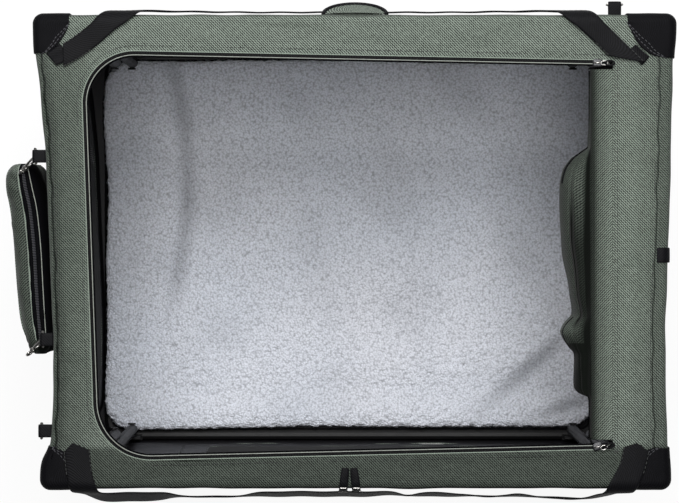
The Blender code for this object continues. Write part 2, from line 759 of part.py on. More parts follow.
def build_brackets(materials, base, top):
    """Hinge brackets of the four base pivots and the four top pivots."""
    for end, sx in (("left", -1), ("right", 1)):
        for face, sy in (("front", -1), ("back", 1)):
            low = bracket_mesh(sx, sy, BASE_LOOP_Z, 1, BASE_EAR_Y, LOWER_LEG_Y)
            add_part(f"base_bracket_{end}_{face}", low, materials["bracket"], base)
            high = bracket_mesh(sx, sy, TOP_LOOP_Z, -1, TOP_EAR_Y, UPPER_LEG_Y)
            add_part(f"top_bracket_{end}_{face}", high, materials["bracket"], top)


def leg_mesh(sx, sy, leg_y, low_z, high_z, holes):
    """A leg tube with a cross hole for each pin that turns in it."""
    x = sx * LEG_X
    leg = prism(circle(TUBE / 2, TUBE_SIDES, (x, sy * leg_y)), low_z - LEG_END, high_z + LEG_END)
    for z in holes:
        hole = y_rod(PIN / 2 + GAP, x, z, sy * (leg_y - TUBE), sy * (leg_y + TUBE))
        leg = combined(leg, hole, "DIFFERENCE")
    return leg


def build_legs(materials, bodies):
    """Lower and upper legs; the knee pin is riveted into the lower leg."""
    for end, sx in (("left", -1), ("right", 1)):
        for face, sy in (("front", -1), ("back", 1)):
            lower = leg_mesh(sx, sy, LOWER_LEG_Y, BASE_PIVOT_Z, KNEE_Z, [BASE_PIVOT_Z])
            inner_y = UPPER_LEG_Y - TUBE / 2 - GAP
            pin = y_rod(PIN / 2, sx * LEG_X, KNEE_Z, sy * LOWER_LEG_Y, sy * (inner_y - HEAD_THICK / 2))
            head = y_rod(PIN_HEAD / 2, sx * LEG_X, KNEE_Z, sy * inner_y, sy * (inner_y - HEAD_THICK))
            lower = combined(combined(lower, pin, "UNION"), head, "UNION")
            add_part(f"{end}_lower_leg_{face}", lower, materials["tube"], bodies[f"{end}_lower"], smooth=True)
            upper = leg_mesh(sx, sy, UPPER_LEG_Y, KNEE_Z, TOP_PIVOT_Z, [KNEE_Z, TOP_PIVOT_Z])
            add_part(f"{end}_upper_leg_{face}", upper, materials["tube"], bodies[f"{end}_upper"], smooth=True)


def door_section(y, reach, depth):
    """Section of the tucked door at one place along its seam: flat on top, rolled over, bunched below."""
    left = DOOR_ROLL + DOOR_BUNCH * reach
    down = DOOR_ROLL_DEPTH + DOOR_BUNCH_DEPTH * depth
    lengths = np.array([DOOR_ROLL, left, DOOR_CLOTH, down])
    out = np.maximum(np.array(DOOR_OUT_SHARES) @ lengths, GAP)
    below = np.array(DOOR_BELOW_SHARES) @ lengths
    return [(SEAM_X - u, y, HEIGHT - v) for u, v in zip(out, below)]


def build_top_door(materials, parent):
    """The unzipped top door: rolled over the seam and bunched under the right strip."""
    back = HALF_WIDTH - BACK_STRIP_RIGHT - DOOR_END_CLEARANCE
    front = -HALF_WIDTH + FRONT_STRIP_RIGHT + DOOR_END_CLEARANCE
    rings = [door_section(front + (back - front) * place, reach, depth) for place, reach, depth in DOOR_BUNCH_SHARES]
    add_part("top_door", stacked(rings), materials["cover"], parent, smooth=True)


def over_rim(side, along, across, lift):
    """Places on the front (-1) or back (1) rim: across runs over the round edge, negative on the top."""
    turn = np.clip(across / RIM_ROUND + math.pi / 4, 0, math.pi / 2)
    radius = RIM_ROUND + lift
    y = HALF_WIDTH - RIM_ROUND + radius * np.sin(turn) + np.minimum(across + RIM_ARC, 0)
    z = HEIGHT - RIM_ROUND + radius * np.cos(turn) - np.maximum(across - RIM_ARC, 0)
    return np.stack([along + 0 * y, side * y, z], axis=-1)


def ribbon(side, path, width, thick, lift, columns=4):
    """A band laid over the rim: rows of path are along, across, extra lift and tilt."""
    path = np.asarray(path, float)
    ahead = np.gradient(path[:, :2], axis=0)
    ahead /= np.linalg.norm(ahead, axis=1)[:, None]
    spread = np.linspace(-0.5, 0.5, columns + 1)[None, :] * width
    along = path[:, :1] - ahead[:, 1:2] * spread
    across = path[:, 1:2] + ahead[:, :1] * spread
    level = lift + path[:, 2:3] + path[:, 3:4] * (spread + width / 2)
    under = over_rim(side, along, across, level)
    over = over_rim(side, along, across, level + thick)
    rings = [np.concatenate([low, high[::-1]]) for low, high in zip(under, over)]
    return stacked(rings)


def strap_path(shares):
    """A carry strap's path in lengths, smoothed: its ends keep to the corners and its middle takes up the length."""
    table = np.array(shares) * np.array([STRAP_SPAN, STRAP_ACROSS, STRAP_OUT, 1.0])
    table[:, 0] += (HALF_LENGTH - STRAP_SPAN) * np.clip(np.array(shares)[:, 0] / STRAP_MIDDLE_SHARE, -1, 1)
    return curve_through(table, STRAP_STEPS)


def build_straps(materials, bodies):
    """Front and back carry straps."""
    for name, side, shares in (("front", -1, FRONT_STRAP_SHARES), ("back", 1, BACK_STRAP_SHARES)):
        band = ribbon(side, strap_path(shares), STRAP_WIDTH, WEBBING, STRAP_LIFT)
        add_part(f"{name}_carry_strap", band, materials["webbing"], bodies[f"{name}_strap"], smooth=True)


def slider_frame(side):
    """Where a top zip slider stands at the seam's end of its run, and its run's heading towards the left."""
    run = [Vector(p) for p in doorway(ZIP_TAPE / 2)]
    if side < 0:
        run = run[::-1]
    heading = (run[1] - run[0]).normalized()
    return run[0] + heading * SLIDER_FROM_SEAM, heading


def build_top_sliders(materials, bodies):
    """Sliders and pulls of the top door's two zips, parked at the seam."""
    for name, side in (("back", 1), ("front", -1)):
        place, heading = slider_frame(side)
        turn = Matrix.Rotation(math.atan2(-heading.y, -heading.x), 4, "Z")
        half_l, half_w = SLIDER_LENGTH / 2, SLIDER_WIDTH / 2
        corners = [(-half_l, -half_w), (half_l, -half_w), (half_l, half_w), (-half_l, half_w)]
        body = prism(rounded(corners, [half_w / 2] * 4, 3), GAP, SLIDER_HEIGHT)
        at = (place.x, place.y, HEIGHT)
        add_part(f"top_slider_{name}", moved(body, turn, at), materials["nickel"], bodies[f"top_slider_{name}"])
        start = half_l - PULL_WIDTH / 2
        half_p = PULL_WIDTH / 2
        corners = [(start, -half_p), (start + PULL_LENGTH, -half_p), (start + PULL_LENGTH, half_p), (start, half_p)]
        low = SLIDER_HEIGHT + GAP
        pull = prism(rounded(corners, [half_p * PULL_ROUND_SHARE] * 4, 3), low, low + PULL_THICK)
        add_part(f"top_pull_{name}", moved(pull, turn, at), materials["nickel"], bodies[f"top_pull_{name}"])


def build_front_sliders(materials, bodies):
    """Sliders of the front door's zip at its head, each with a pull that lies up over the rim."""
    for name, side in (("left", -1), ("right", 1)):
        x = FRONT_PULL_OFFSET + side * FRONT_PULL_SPACING / 2
        low = (x - SLIDER_WIDTH / 2, -HALF_WIDTH - SLIDER_HEIGHT, FRONT_DOOR_HEAD - SLIDER_LENGTH / 2)
        high = (x + SLIDER_WIDTH / 2, -HALF_WIDTH - GAP, FRONT_DOOR_HEAD + SLIDER_LENGTH / 2)
        body = box(low, high)
        reach = FRONT_DOOR_BELOW_TOP - RIM_ROUND + RIM_ARC
        steps = np.linspace(reach, -FRONT_PULL_UP, 11)
        path = np.stack([x + 0 * steps, steps, 0 * steps, 0 * steps], axis=1)
        pull = ribbon(-1, path, FRONT_PULL_WIDTH, PULL_THICK, 2 * GAP, columns=1)
        mesh = combined(body, pull, "UNION")
        add_part(f"front_slider_{name}", mesh, materials["nickel"], bodies[f"front_slider_{name}"])


def build_grab_tab(materials, parent):
    """Half-round padded tab on the back rim."""
    turns = np.linspace(0, math.pi, 13)
    outline = [(GRAB_WIDTH / 2 * math.cos(a), GRAB_REACH * math.sin(a)) for a in turns]
    tab = prism(outline, -GRAB_THICK, 0.0)
    turn = Matrix.Rotation(-GRAB_DROOP, 4, "X")
    root = HALF_WIDTH + GAP + GRAB_THICK * math.sin(GRAB_DROOP)
    add_part("rear_grab_tab", moved(tab, turn, (0.0, root, HEIGHT - GRAB_BELOW_TOP)), materials["cover"], parent)


def tab_mesh():
    """A webbing tab that reaches along +X from the origin, with an eye across its end."""
    half = TAB_THICK / 2
    turns = np.linspace(-math.radians(150), math.radians(150), 11)
    outline = [(0.0, half), (0.0, -half)]
    outline += [(TAB_REACH + TAB_EYE * math.cos(a), TAB_EYE * math.sin(a)) for a in turns]
    tab = prism(outline, -TAB_WIDTH / 2, TAB_WIDTH / 2, "Y")
    hole = prism(circle(RING_WIRE / 2 + RING_CLEARANCE, 8, (TAB_REACH, 0.0)), -TAB_WIDTH, TAB_WIDTH, "Y")
    return combined(tab, hole, "DIFFERENCE")


def ring_mesh():
    """A D-ring whose straight bar lies along Y at the origin and whose bow hangs down."""
    half = RING_BAR / 2
    turns = np.linspace(0, math.pi, 9)
    path = [(0.0, half * math.cos(a), -RING_DROP * math.sin(a)) for a in turns]
    path += [(0.0, -half * share, 0.0) for share in RING_BAR_SHARES]
    return swept(path, RING_WIRE / 2, WIRE_SIDES, (1, 0, 0), closed=True)


def tab_root(y):
    """Where a tab leaves the left end."""
    return -(outermost(-1, y, TAB_WIDTH / 2) + GAP)


def pouch_tab_places():
    """The two tabs that the pouch hangs from: back first."""
    return [("back", POUCH_BACK_TAB), ("front", POUCH_FRONT_TAB)]


def pouch_turn():
    """Turn that lays the pouch's rings along the line through both of their bars."""
    lean = tab_root(POUCH_FRONT_TAB) - tab_root(POUCH_BACK_TAB)
    return Matrix.Rotation(math.atan2(lean, POUCH_BACK_TAB - POUCH_FRONT_TAB), 4, "Z")


def build_tabs_and_rings(materials, top, bodies):
    """Webbing tabs on the rim with their D-rings, and the folded loop on the right end."""
    about = Matrix.Rotation(math.pi, 4, "Z")
    places = [(f"pouch_{name}", y, "pouch", pouch_turn()) for name, y in pouch_tab_places()]
    places.append(("left_front", FRONT_TAB_PLACE, "left_front_ring", None))
    for name, y, body, turn in places:
        root = tab_root(y)
        add_part(f"{name}_tab", moved(tab_mesh(), about, (root, y, TAB_Z)), materials["webbing"], top)
        ring = moved(ring_mesh(), turn, (root - TAB_REACH, y, TAB_Z))
        add_part(f"{name}_ring", ring, materials["nickel"], bodies[body], smooth=True)
    quarter = Matrix.Rotation(math.pi / 2, 4, "Z")
    root = (BACK_TAB_PLACE, HALF_WIDTH + GAP, TAB_Z)
    add_part("back_right_tab", moved(tab_mesh(), quarter, root), materials["webbing"], top)
    ring = moved(ring_mesh(), quarter, (BACK_TAB_PLACE, HALF_WIDTH + GAP + TAB_REACH, TAB_Z))
    add_part("back_right_ring", ring, materials["nickel"], bodies["back_right_ring"], smooth=True)
    near = outermost(1, SIDE_TAB_PLACE, SIDE_TAB_WIDTH / 2) + GAP
    low = (near, SIDE_TAB_PLACE - SIDE_TAB_WIDTH / 2, HEIGHT - TOP_SKIRT)
    high = (near + SIDE_TAB_THICK, SIDE_TAB_PLACE + SIDE_TAB_WIDTH / 2, HEIGHT - RIM_ROUND)
    add_part("right_side_loop", box(low, high), materials["webbing"], top)


def pouch_rings():
    """Sections of the pouch along the left end, each a soft-cornered upright oblong."""
    rings = []
    low_y = POUCH_MIDDLE - POUCH_LENGTH / 2
    middle_z = HEIGHT - POUCH_BELOW_TOP - POUCH_HEIGHT / 2
    for place, thick, stand_off, height in POUCH_SHARES:
        y = low_y + POUCH_LENGTH * place
        inner = -(end_x(-1, y) + POUCH_CLEARANCE + POUCH_THICK * stand_off)
        half_x = POUCH_THICK * thick / 2
        half_z = POUCH_HEIGHT * height / 2
        x = inner - half_x
        soft = half_x * POUCH_SOFT_SHARE
        corners = [(-half_x, -half_z), (half_x, -half_z), (half_x, half_z), (-half_x, half_z)]
        outline = rounded(corners, [soft] * 4, 3)
        rings.append([(x + u, y, middle_z + v) for u, v in outline])
    return rings


def hook_mesh(start, end):
    """A spring hook drawn as one oval link from start to end."""
    start, end = Vector(start), Vector(end)
    ahead = (end - start).normalized()
    across = ahead.cross(Vector((0, 1, 0))).normalized()
    normal = ahead.cross(across)
    middle = (start + end) / 2
    straight = (end - start).length / 2 - HOOK_WIDTH / 2
    path = []
    for centre, first in ((middle + ahead * straight, -0.5), (middle - ahead * straight, 0.5)):
        for k in range(7):
            a = math.pi * (first + k / 6)
            path.append(centre + (ahead * math.cos(a) + across * math.sin(a)) * HOOK_WIDTH / 2)
    return swept(path, HOOK_WIRE / 2, WIRE_SIDES, normal, closed=True)


def build_pouch(materials, parent):
    """The zip pouch and the two hooks that hang it from its rings."""
    add_part("pouch", stacked(pouch_rings()), materials["cover"], parent, smooth=True)
    for name, y in pouch_tab_places():
        root = tab_root(y) - TAB_REACH
        ahead = Vector(HOOK_HEADINGS[name]).normalized()
        start = Vector((root, y, TAB_Z - RING_DROP)) - ahead * HOOK_INSIDE
        hook = hook_mesh(start, start + ahead * HOOK_LENGTH)
        add_part(f"pouch_hook_{name}", hook, materials["nickel"], parent, smooth=True)


def build_mat(materials, parent):
    """The fleece mat: its middle on the floor, its edge raised over the base tubes, its lip round."""
    half_x, half_y = MAT_LENGTH / 2, MAT_WIDTH / 2
    corners = [(-half_x, -half_y), (half_x, -half_y), (half_x, half_y), (-half_x, half_y)]
    outline = []
    plain = rounded(corners, [MAT_ROUND] * 4, 6)
    for i, point in enumerate(plain):
        after = plain[(i + 1) % len(plain)]
        outline.append(point)
        if math.dist(point, after) > 2 * MAT_ROUND:
            outline += [tuple(np.array(point) + (np.array(after) - point) * k / 6) for k in range(1, 6)]
    low_z = CLOTH + MAT_EDGE_GAP
    high_z = BASE_LOOP_Z + BRACKET_TOP + MAT_EDGE_GAP
    upper, lower = [], []
    for place, risen in MAT_RING_SHARES:
        ring = [(x * place, MAT_SHIFT + y * place) for x, y in outline]
        floor = low_z + (high_z - low_z) * risen
        thick = MAT_MIDDLE + (MAT_EDGE - MAT_MIDDLE) * risen
        upper.append(at_height(ring, floor + thick))
        lower.append(at_height(ring, floor))
    rim = [(x, MAT_SHIFT + y) for x, y in outline]
    lip = [
        at_height(rim, high_z + MAT_EDGE * (1 - MAT_LIP_SHARE)),
        at_height(rim, high_z + MAT_EDGE * MAT_LIP_SHARE),
    ]
    add_part("fleece_mat", stacked(upper + lip + lower[::-1]), materials["fleece"], parent, smooth=True)


def make_carriers():
    """Empties on the joints' axes, nested as the bodies are."""
    base = carrier("base", (0.0, 0.0, 0.0))
    bodies = {"base": base}
    for end, sx in (("left", -1), ("right", 1)):
        bodies[f"{end}_lower"] = carrier(f"{end}_lower_pivot", (sx * LEG_X, 0.0, BASE_PIVOT_Z), base)
        bodies[f"{end}_upper"] = carrier(
            f"{end}_upper_pivot", (sx * LEG_X, 0.0, KNEE_Z), bodies[f"{end}_lower"]
        )
    top = carrier("top_pivot", (-LEG_X, 0.0, TOP_PIVOT_Z), bodies["left_upper"])
    bodies["top"] = top
    bodies["front_door"] = carrier("front_door_pivot", (0.0, -HALF_WIDTH, FRONT_DOOR_SILL), base)
    bodies["top_door"] = carrier("top_door_pivot", (SEAM_X, 0.0, HEIGHT), top)
    for name, side in (("front", -1), ("back", 1)):
        sewn_y = HALF_WIDTH - RIM_ROUND + RIM_ARC - STRAP_SEWN[name]
        place = (0.0, side * sewn_y, STRAP_PIVOT_Z)
        bodies[f"{name}_strap"] = carrier(f"{name}_strap_pivot", place, top)
        run, heading = slider_frame(side)
        slider = carrier(f"top_slider_{name}_start", (run.x, run.y, HEIGHT), top)
        bodies[f"top_slider_{name}"] = slider
        eye = run - heading * (SLIDER_LENGTH - PULL_WIDTH) / 2
        bodies[f"top_pull_{name}"] = carrier(
            f"top_pull_{name}_pivot", (eye.x, eye.y, PULL_PIVOT_Z), slider
        )
    for name, side in (("left", -1), ("right", 1)):
        x = FRONT_PULL_OFFSET + side * FRONT_PULL_SPACING / 2
        bodies[f"front_slider_{name}"] = carrier(
            f"front_slider_{name}_start", (x, -HALF_WIDTH, FRONT_DOOR_HEAD), top
        )
    pouch_x = tab_root(POUCH_BACK_TAB) - TAB_REACH
    bodies["pouch"] = carrier("pouch_pivot", (pouch_x, POUCH_BACK_TAB, TAB_Z), top)
    ring_x = tab_root(FRONT_TAB_PLACE) - TAB_REACH
    bodies["left_front_ring"] = carrier("left_front_ring_pivot", (ring_x, FRONT_TAB_PLACE, TAB_Z), top)
    ring_y = HALF_WIDTH + EYE_REACH
    bodies["back_right_ring"] = carrier("back_right_ring_pivot", (BACK_TAB_PLACE, ring_y, TAB_Z), top)
    return bodies


def main():
    """Build the crate."""
    clear_scene()
    materials = make_materials()
    bodies = make_carriers()
    base, top = bodies["base"], bodies["top"]
    build_frames(materials, base, top)
    build_brackets(materials, base, top)
    build_legs(materials, bodies)
    build_floor_panel(materials, base)
    build_walls(materials, base, bodies["front_door"])
    build_mat(materials, base)
    build_top_panel(materials, top)
    build_top_zip(materials, top)
    build_patches(materials, top, base)
    build_top_door(materials, bodies["top_door"])
    build_top_sliders(materials, bodies)
    build_front_sliders(materials, bodies)
    build_straps(materials, bodies)
    build_grab_tab(materials, top)
    build_tabs_and_rings(materials, top, bodies)
    build_pouch(materials, bodies["pouch"])


main()
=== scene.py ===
"""Looks of a soft folding dog crate with its top door open: cloth, netting, fleece, webbing and metal.

Every new piece is a surface worked out on a grid in the crate's own frame: metres, +Z up, -Y the front.
"""

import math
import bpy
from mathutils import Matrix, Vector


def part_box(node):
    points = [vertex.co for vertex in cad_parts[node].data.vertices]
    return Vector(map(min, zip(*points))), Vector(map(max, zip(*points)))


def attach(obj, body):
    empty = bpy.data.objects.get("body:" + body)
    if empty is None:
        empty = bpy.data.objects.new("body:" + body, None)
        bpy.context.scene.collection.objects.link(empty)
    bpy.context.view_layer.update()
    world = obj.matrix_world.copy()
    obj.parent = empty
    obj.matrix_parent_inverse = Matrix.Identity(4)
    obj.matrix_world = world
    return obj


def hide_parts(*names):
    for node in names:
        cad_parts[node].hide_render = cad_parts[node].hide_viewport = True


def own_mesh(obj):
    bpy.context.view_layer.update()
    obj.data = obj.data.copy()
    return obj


bl_info = {
    "name": "Soft Folding Dog Crate",
    "version": (1, 0, 0),
    "blender": (4, 5, 0),
    "location": "View3D > Sidebar > Dog Crate",
    "description": "Builds the cloth, netting, fleece, webbing and metal of a soft folding dog crate",
    "category": "Add Mesh",
}

import bmesh
import bpy
import numpy as np
from bpy.props import FloatProperty, FloatVectorProperty, IntProperty, PointerProperty
from bpy.types import Operator, Panel, PropertyGroup

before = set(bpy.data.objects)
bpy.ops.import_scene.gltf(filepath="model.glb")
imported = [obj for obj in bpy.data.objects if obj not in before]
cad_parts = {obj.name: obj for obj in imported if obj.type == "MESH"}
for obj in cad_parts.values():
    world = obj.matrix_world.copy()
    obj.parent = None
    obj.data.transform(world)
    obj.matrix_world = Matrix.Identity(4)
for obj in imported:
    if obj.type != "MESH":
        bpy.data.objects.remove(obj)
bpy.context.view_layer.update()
MM = 0.001
UP = np.array([0.0, 0.0, 1.0])


def box_of(node):
    """Low and high corner of a carried-over node."""
    return tuple(np.array(corner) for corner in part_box(node))


# Sizes read from the frame
TOP_LOW, TOP_HIGH = box_of("top_panel")
HALF_Y, HEIGHT = (float(v) for v in TOP_HIGH[1:])
TOP_SKIRT = HEIGHT - float(TOP_LOW[2])
FLOOR_SKIRT = float(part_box("floor_panel")[1][2])

# Shape of the cover: half its length over the corners, the hinge seam's place, and how far its ends draw in
HALF_X = 307 * MM
SEAM_X = HALF_X - 59 * MM
END_BOW = 15.6 * MM
# Each end from front to back: place along half the width, and share of the bow
LEFT_END_SHARES = [
    (-1.00, 0.28), (-0.93, 0.30), (-0.88, 0.44), (-0.81, 0.86), (-0.70, 0.97), (-0.58, 1.00), (-0.35, 1.00),
    (0.00, 0.80), (0.36, 0.57), (0.47, 0.50), (0.64, 0.27), (0.74, 0.11), (0.85, -0.10), (1.00, -0.18),
]
RIGHT_END_SHARES = [
    (-1.00, 0.21), (-0.90, 0.25), (-0.79, 0.36), (-0.58, 0.45), (-0.34, 0.46), (0.00, 0.30), (0.22, 0.20),
    (0.55, 0.08), (0.80, 0.02), (0.90, -0.08), (1.00, -0.12),
]
CORNER_ROUND = 9 * MM
RIM_ROUND = 8 * MM
RIM_ARC = RIM_ROUND * math.pi / 4
CLOTH = 1.2 * MM
SIDE_STEPS = 110
CORNER_STEPS = 26

# The top doorway's corners, as strips of cloth between them and the cover's corners
BACK_RIGHT = (SEAM_X, HALF_Y - 44.5 * MM)
BACK_LEFT = (-HALF_X + 43 * MM, HALF_Y - 34.5 * MM)
FRONT_LEFT = (-HALF_X + 57 * MM, -HALF_Y + 27 * MM)
FRONT_RIGHT = (SEAM_X, -HALF_Y + 38.7 * MM)
DOORWAY_CORNERS = [BACK_RIGHT, BACK_LEFT, FRONT_LEFT, FRONT_RIGHT]
DOORWAY_ROUNDS = [3 * MM, 50 * MM, 56 * MM, 3 * MM]
ZIP_TAPE = 5.8 * MM

# Doors and windows: half width, sill, head and round
FRONT_DOOR = (195 * MM, 55 * MM, 506 * MM, 60 * MM)
END_WINDOW = (165 * MM, 46 * MM, 470 * MM, 45 * MM)
# Netting: its mesh, its strands' radius, how far the two rows lie off their plane and that plane off the wall
NET_PITCH = 2.4 * MM
NET_STRAND = 0.42 * MM
NET_APART = 0.15 * MM
NET_INSIDE = 1.0 * MM


# ---------------------------------------------------------------- small tools


def hex_colour(code):
    """An sRGB hex colour as linear red, green and blue."""
    parts = np.array([int(code[i : i + 2], 16) for i in (1, 3, 5)]) / 255
    linear = np.where(parts <= 0.04045, parts / 12.92, ((parts + 0.055) / 1.055) ** 2.4)
    return tuple(float(v) for v in linear)


def unit(vectors):
    """Vectors of length one."""
    return vectors / np.maximum(np.linalg.norm(vectors, axis=-1, keepdims=True), 1e-12)


def eased(low, high, value):
    """Zero below low, one above high, and a smooth step 3t^2 - 2t^3 between them."""
    t = np.clip((value - low) / (high - low), 0, 1)
    return t * t * (3 - 2 * t)


def bell(value, centre, width):
    """A bell curve exp(-(distance / width)^2)."""
    return np.exp(-(((value - centre) / width) ** 2))


def squared(value, power):
    """A sine or cosine raised to a power with its sign kept, which squares a circle off."""
    return np.sign(value) * np.abs(value) ** power


def ripples(points, length, seed, waves=26):
    """Smooth random heights of about one: a sum of plane waves of random heading and phase, near a given length."""
    rng = np.random.default_rng(seed)
    heading = unit(rng.normal(size=(waves, points.shape[-1])))
    number = 2 * math.pi / (length * rng.uniform(0.6, 1.8, waves))
    phase = rng.uniform(0, 2 * math.pi, waves)
    return np.sin(points @ (heading * number[:, None]).T + phase).sum(axis=-1) / math.sqrt(waves / 2)


def curve_through(points, per_span):
    """A smooth curve through points: cubic spans whose slopes are half the way between a point's neighbours."""
    points = np.asarray(points, float)
    slopes = np.gradient(points, axis=0)
    t = np.linspace(0, 1, per_span, endpoint=False)[None, :, None]
    a, b = points[:-1, None], points[1:, None]
    m, n = slopes[:-1, None], slopes[1:, None]
    spans = (2 * t**3 - 3 * t**2 + 1) * a + (t**3 - 2 * t**2 + t) * m + (3 * t**2 - 2 * t**3) * b + (t**3 - t**2) * n
    return np.concatenate([spans.reshape(-1, points.shape[1]), points[-1:]])


def run_of(path):
    """Running length of a path at each of its points."""
    return np.concatenate([[0], np.cumsum(np.linalg.norm(np.diff(path, axis=0), axis=1))])


def read_at(places, run, path):
    """Points of a path at places along its run, by straight interpolation."""
    return np.stack([np.interp(places, run, column) for column in path.T], axis=1)


def resampled(path, step, closed=False):
    """Points at equal steps along a path."""
    path = np.asarray(path, float)
    if closed:
        path = np.concatenate([path, path[:1]])
    run = run_of(path)
    places = np.linspace(0, run[-1], max(2, int(round(run[-1] / step)) + 1))
    return read_at(places[:-1] if closed else places, run, path)


def headings(path, closed=False):
    """Unit headings along a path: the difference of each point's neighbours."""
    if closed:
        return unit(np.roll(path, -1, axis=0) - np.roll(path, 1, axis=0))
    return unit(np.gradient(path, axis=0))


def loop_points(corners, rounds, side_steps=SIDE_STEPS, corner_steps=CORNER_STEPS):
    """An anticlockwise loop of four straight sides joined by arcs, each side and each arc evenly divided."""
    corners = np.array(corners, float)
    arcs = []
    for i, radius in enumerate(rounds):
        here = corners[i]
        before = unit(corners[i - 1] - here)
        after = unit(corners[(i + 1) % 4] - here)
        half = math.acos(float(np.clip(before @ after, -1, 1))) / 2
        centre = here + unit(before + after) * radius / math.sin(half)
        start = here + before * radius / math.tan(half) - centre
        turn = np.linspace(0, math.pi - 2 * half, corner_steps + 1)[:, None]
        arcs.append(centre + start * np.cos(turn) + np.array([-start[1], start[0]]) * np.sin(turn))
    parts = []
    share = np.linspace(0, 1, side_steps + 1)[1:-1, None]
    for i, arc in enumerate(arcs):
        parts += [arc, arc[-1] + (arcs[(i + 1) % 4][0] - arc[-1]) * share]
    return np.concatenate(parts)


LEFT_END, RIGHT_END = (curve_through(table, 6) for table in (LEFT_END_SHARES, RIGHT_END_SHARES))


def end_reach(side, y):
    """How far out the left (-1) or right (1) end is at places along it: half the length less a share of the bow."""
    place = np.asarray(y) / HALF_Y
    left, right = (np.interp(place, table[:, 0], table[:, 1]) for table in (LEFT_END, RIGHT_END))
    return HALF_X - END_BOW * np.where(np.asarray(side) < 0, left, right)


def cover_loop(offset=0.0, side_steps=SIDE_STEPS, corner_steps=CORNER_STEPS):
    """Plan of the cover grown by offset: a round-cornered rectangle whose ends are drawn in to their reach."""
    x, y = HALF_X + offset, HALF_Y + offset
    loop = loop_points([(x, y), (-x, y), (-x, -y), (x, -y)], [CORNER_ROUND + offset] * 4, side_steps, corner_steps)
    side, straight = np.sign(loop[:, 0]), HALF_Y - CORNER_ROUND
    drawn = end_reach(side, np.clip(loop[:, 1], -straight, straight)) - HALF_X
    loop[:, 0] += side * drawn * np.clip(np.abs(loop[:, 0]) / (HALF_X - CORNER_ROUND), 0, 1)
    return loop


def at_height(plan, z):
    """Plan points lifted to a height."""
    return np.concatenate([plan, np.broadcast_to(z, plan.shape[:-1])[..., None]], axis=-1)


# ---------------------------------------------------------------- meshes


def mesh_piece(name, points, faces, material):
    """An object made of points and faces, with one material and room for a cloth map."""
    mesh = bpy.data.meshes.new(name)
    mesh.from_pydata(points.reshape(-1, 3).tolist(), [], faces.tolist())
    mesh.uv_layers.new(name="cloth")
    mesh.materials.append(finish(material))
    piece = bpy.data.objects.new(name, mesh)
    bpy.context.collection.objects.link(piece)
    return piece


def running_length(points, axis, closed):
    """Mean running length of a grid along one axis, for its cloth map."""
    along = np.concatenate([points, np.take(points, [0], axis)], axis) if closed else points
    steps = np.linalg.norm(np.diff(along, axis=axis), axis=-1).mean(axis=1 - axis)
    return np.concatenate([[0], np.cumsum(steps)])


def grid_piece(name, points, material, closed=(False, False), flip=False, shade=None, uv=None, smooth=True):
    """A piece whose vertices are a grid of rows and columns of points, with a cloth map in metres.

    closed says whether the rows, and the columns, join up. shade darkens the cloth at each point.
    """
    rows, columns = points.shape[:2]
    r, c = np.meshgrid(np.arange(rows - (not closed[0])), np.arange(columns - (not closed[1])), indexing="ij")
    steps = [(0, 0), (0, 1), (1, 1), (1, 0)]
    if flip:
        steps = steps[::-1]
    faces = np.stack([(r + i) % rows * columns + (c + j) % columns for i, j in steps], axis=-1).reshape(-1, 4)
    if uv is None:
        u, v = running_length(points, 1, closed[1]), running_length(points, 0, closed[0])
        corners = [np.stack([u[c + j], v[r + i]], axis=-1) for i, j in steps]
    else:
        corners = [uv[(r + i) % rows, (c + j) % columns] for i, j in steps]
    piece = mesh_piece(name, points, faces, material)
    mesh = piece.data
    mesh.uv_layers["cloth"].data.foreach_set("uv", np.stack(corners, axis=2).astype(np.float32).ravel())
    if shade is not None:
        mesh.attributes.new("shade", "FLOAT", "POINT").data.foreach_set("value", shade.astype(np.float32).ravel())
    if smooth:
        mesh.shade_smooth()
    return piece


def sealed(piece, whole=True):
    """Merge a piece's doubled points and, where it is closed all round, turn its faces outwards."""
    shape = bmesh.new()
    shape.from_mesh(piece.data)
    bmesh.ops.remove_doubles(shape, verts=shape.verts, dist=0.002 * MM)
    if whole:
        bmesh.ops.dissolve_degenerate(shape, edges=shape.edges, dist=0.002 * MM)
        bmesh.ops.recalc_face_normals(shape, faces=shape.faces)
    shape.to_mesh(piece.data)
    shape.free()
    return piece


def thickened(piece, thickness, lining=None, offset=-1.0):
    """Give a sheet its thickness, with a lining on its inner side if named."""
    layer = piece.modifiers.new("thickness", "SOLIDIFY")
    layer.thickness = thickness
    layer.offset = offset
    if lining:
        piece.data.materials.append(finish(lining))
        layer.material_offset = 1
    return piece


def joined(name, pieces):
    """Several pieces made into one object."""
    for other in bpy.context.selected_objects:
        other.select_set(False)
    for p in pieces:
        p.select_set(True)
    bpy.context.view_layer.objects.active = pieces[0]
    if len(pieces) > 1:
        bpy.ops.object.join()
    pieces[0].name = name
    return pieces[0]


def placed(piece, body, slot, *nodes):
    """Ride a piece on its body and hide the CAD nodes that it stands for; its slot is not used."""
    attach(piece, body)
    if nodes:
        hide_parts(*nodes)
    return piece


def poles(points):
    """A grid closed at both ends: each end row drawn together at its middle."""
    first, last = (np.broadcast_to(row.mean(axis=1, keepdims=True), row.shape) for row in (points[:1], points[-1:]))
    return np.concatenate([first, points, last])


def tube(name, path, radius, material, sides=8, closed=False, up=UP):
    """A round rod along a path: path + radius (cos a across + sin a lift) about its heading."""
    path = np.asarray(path, float)
    ahead = headings(path, closed)
    across = unit(np.cross(ahead, np.broadcast_to(np.asarray(up, float), ahead.shape)))
    lift = np.cross(across, ahead)
    turn = np.linspace(0, 2 * math.pi, sides, endpoint=False)[None, :, None]
    points = path[:, None] + radius * (np.cos(turn) * across[:, None] + np.sin(turn) * lift[:, None])
    if not closed:
        points = poles(points)
    return sealed(grid_piece(name, points, material, closed=(closed, True), flip=True))


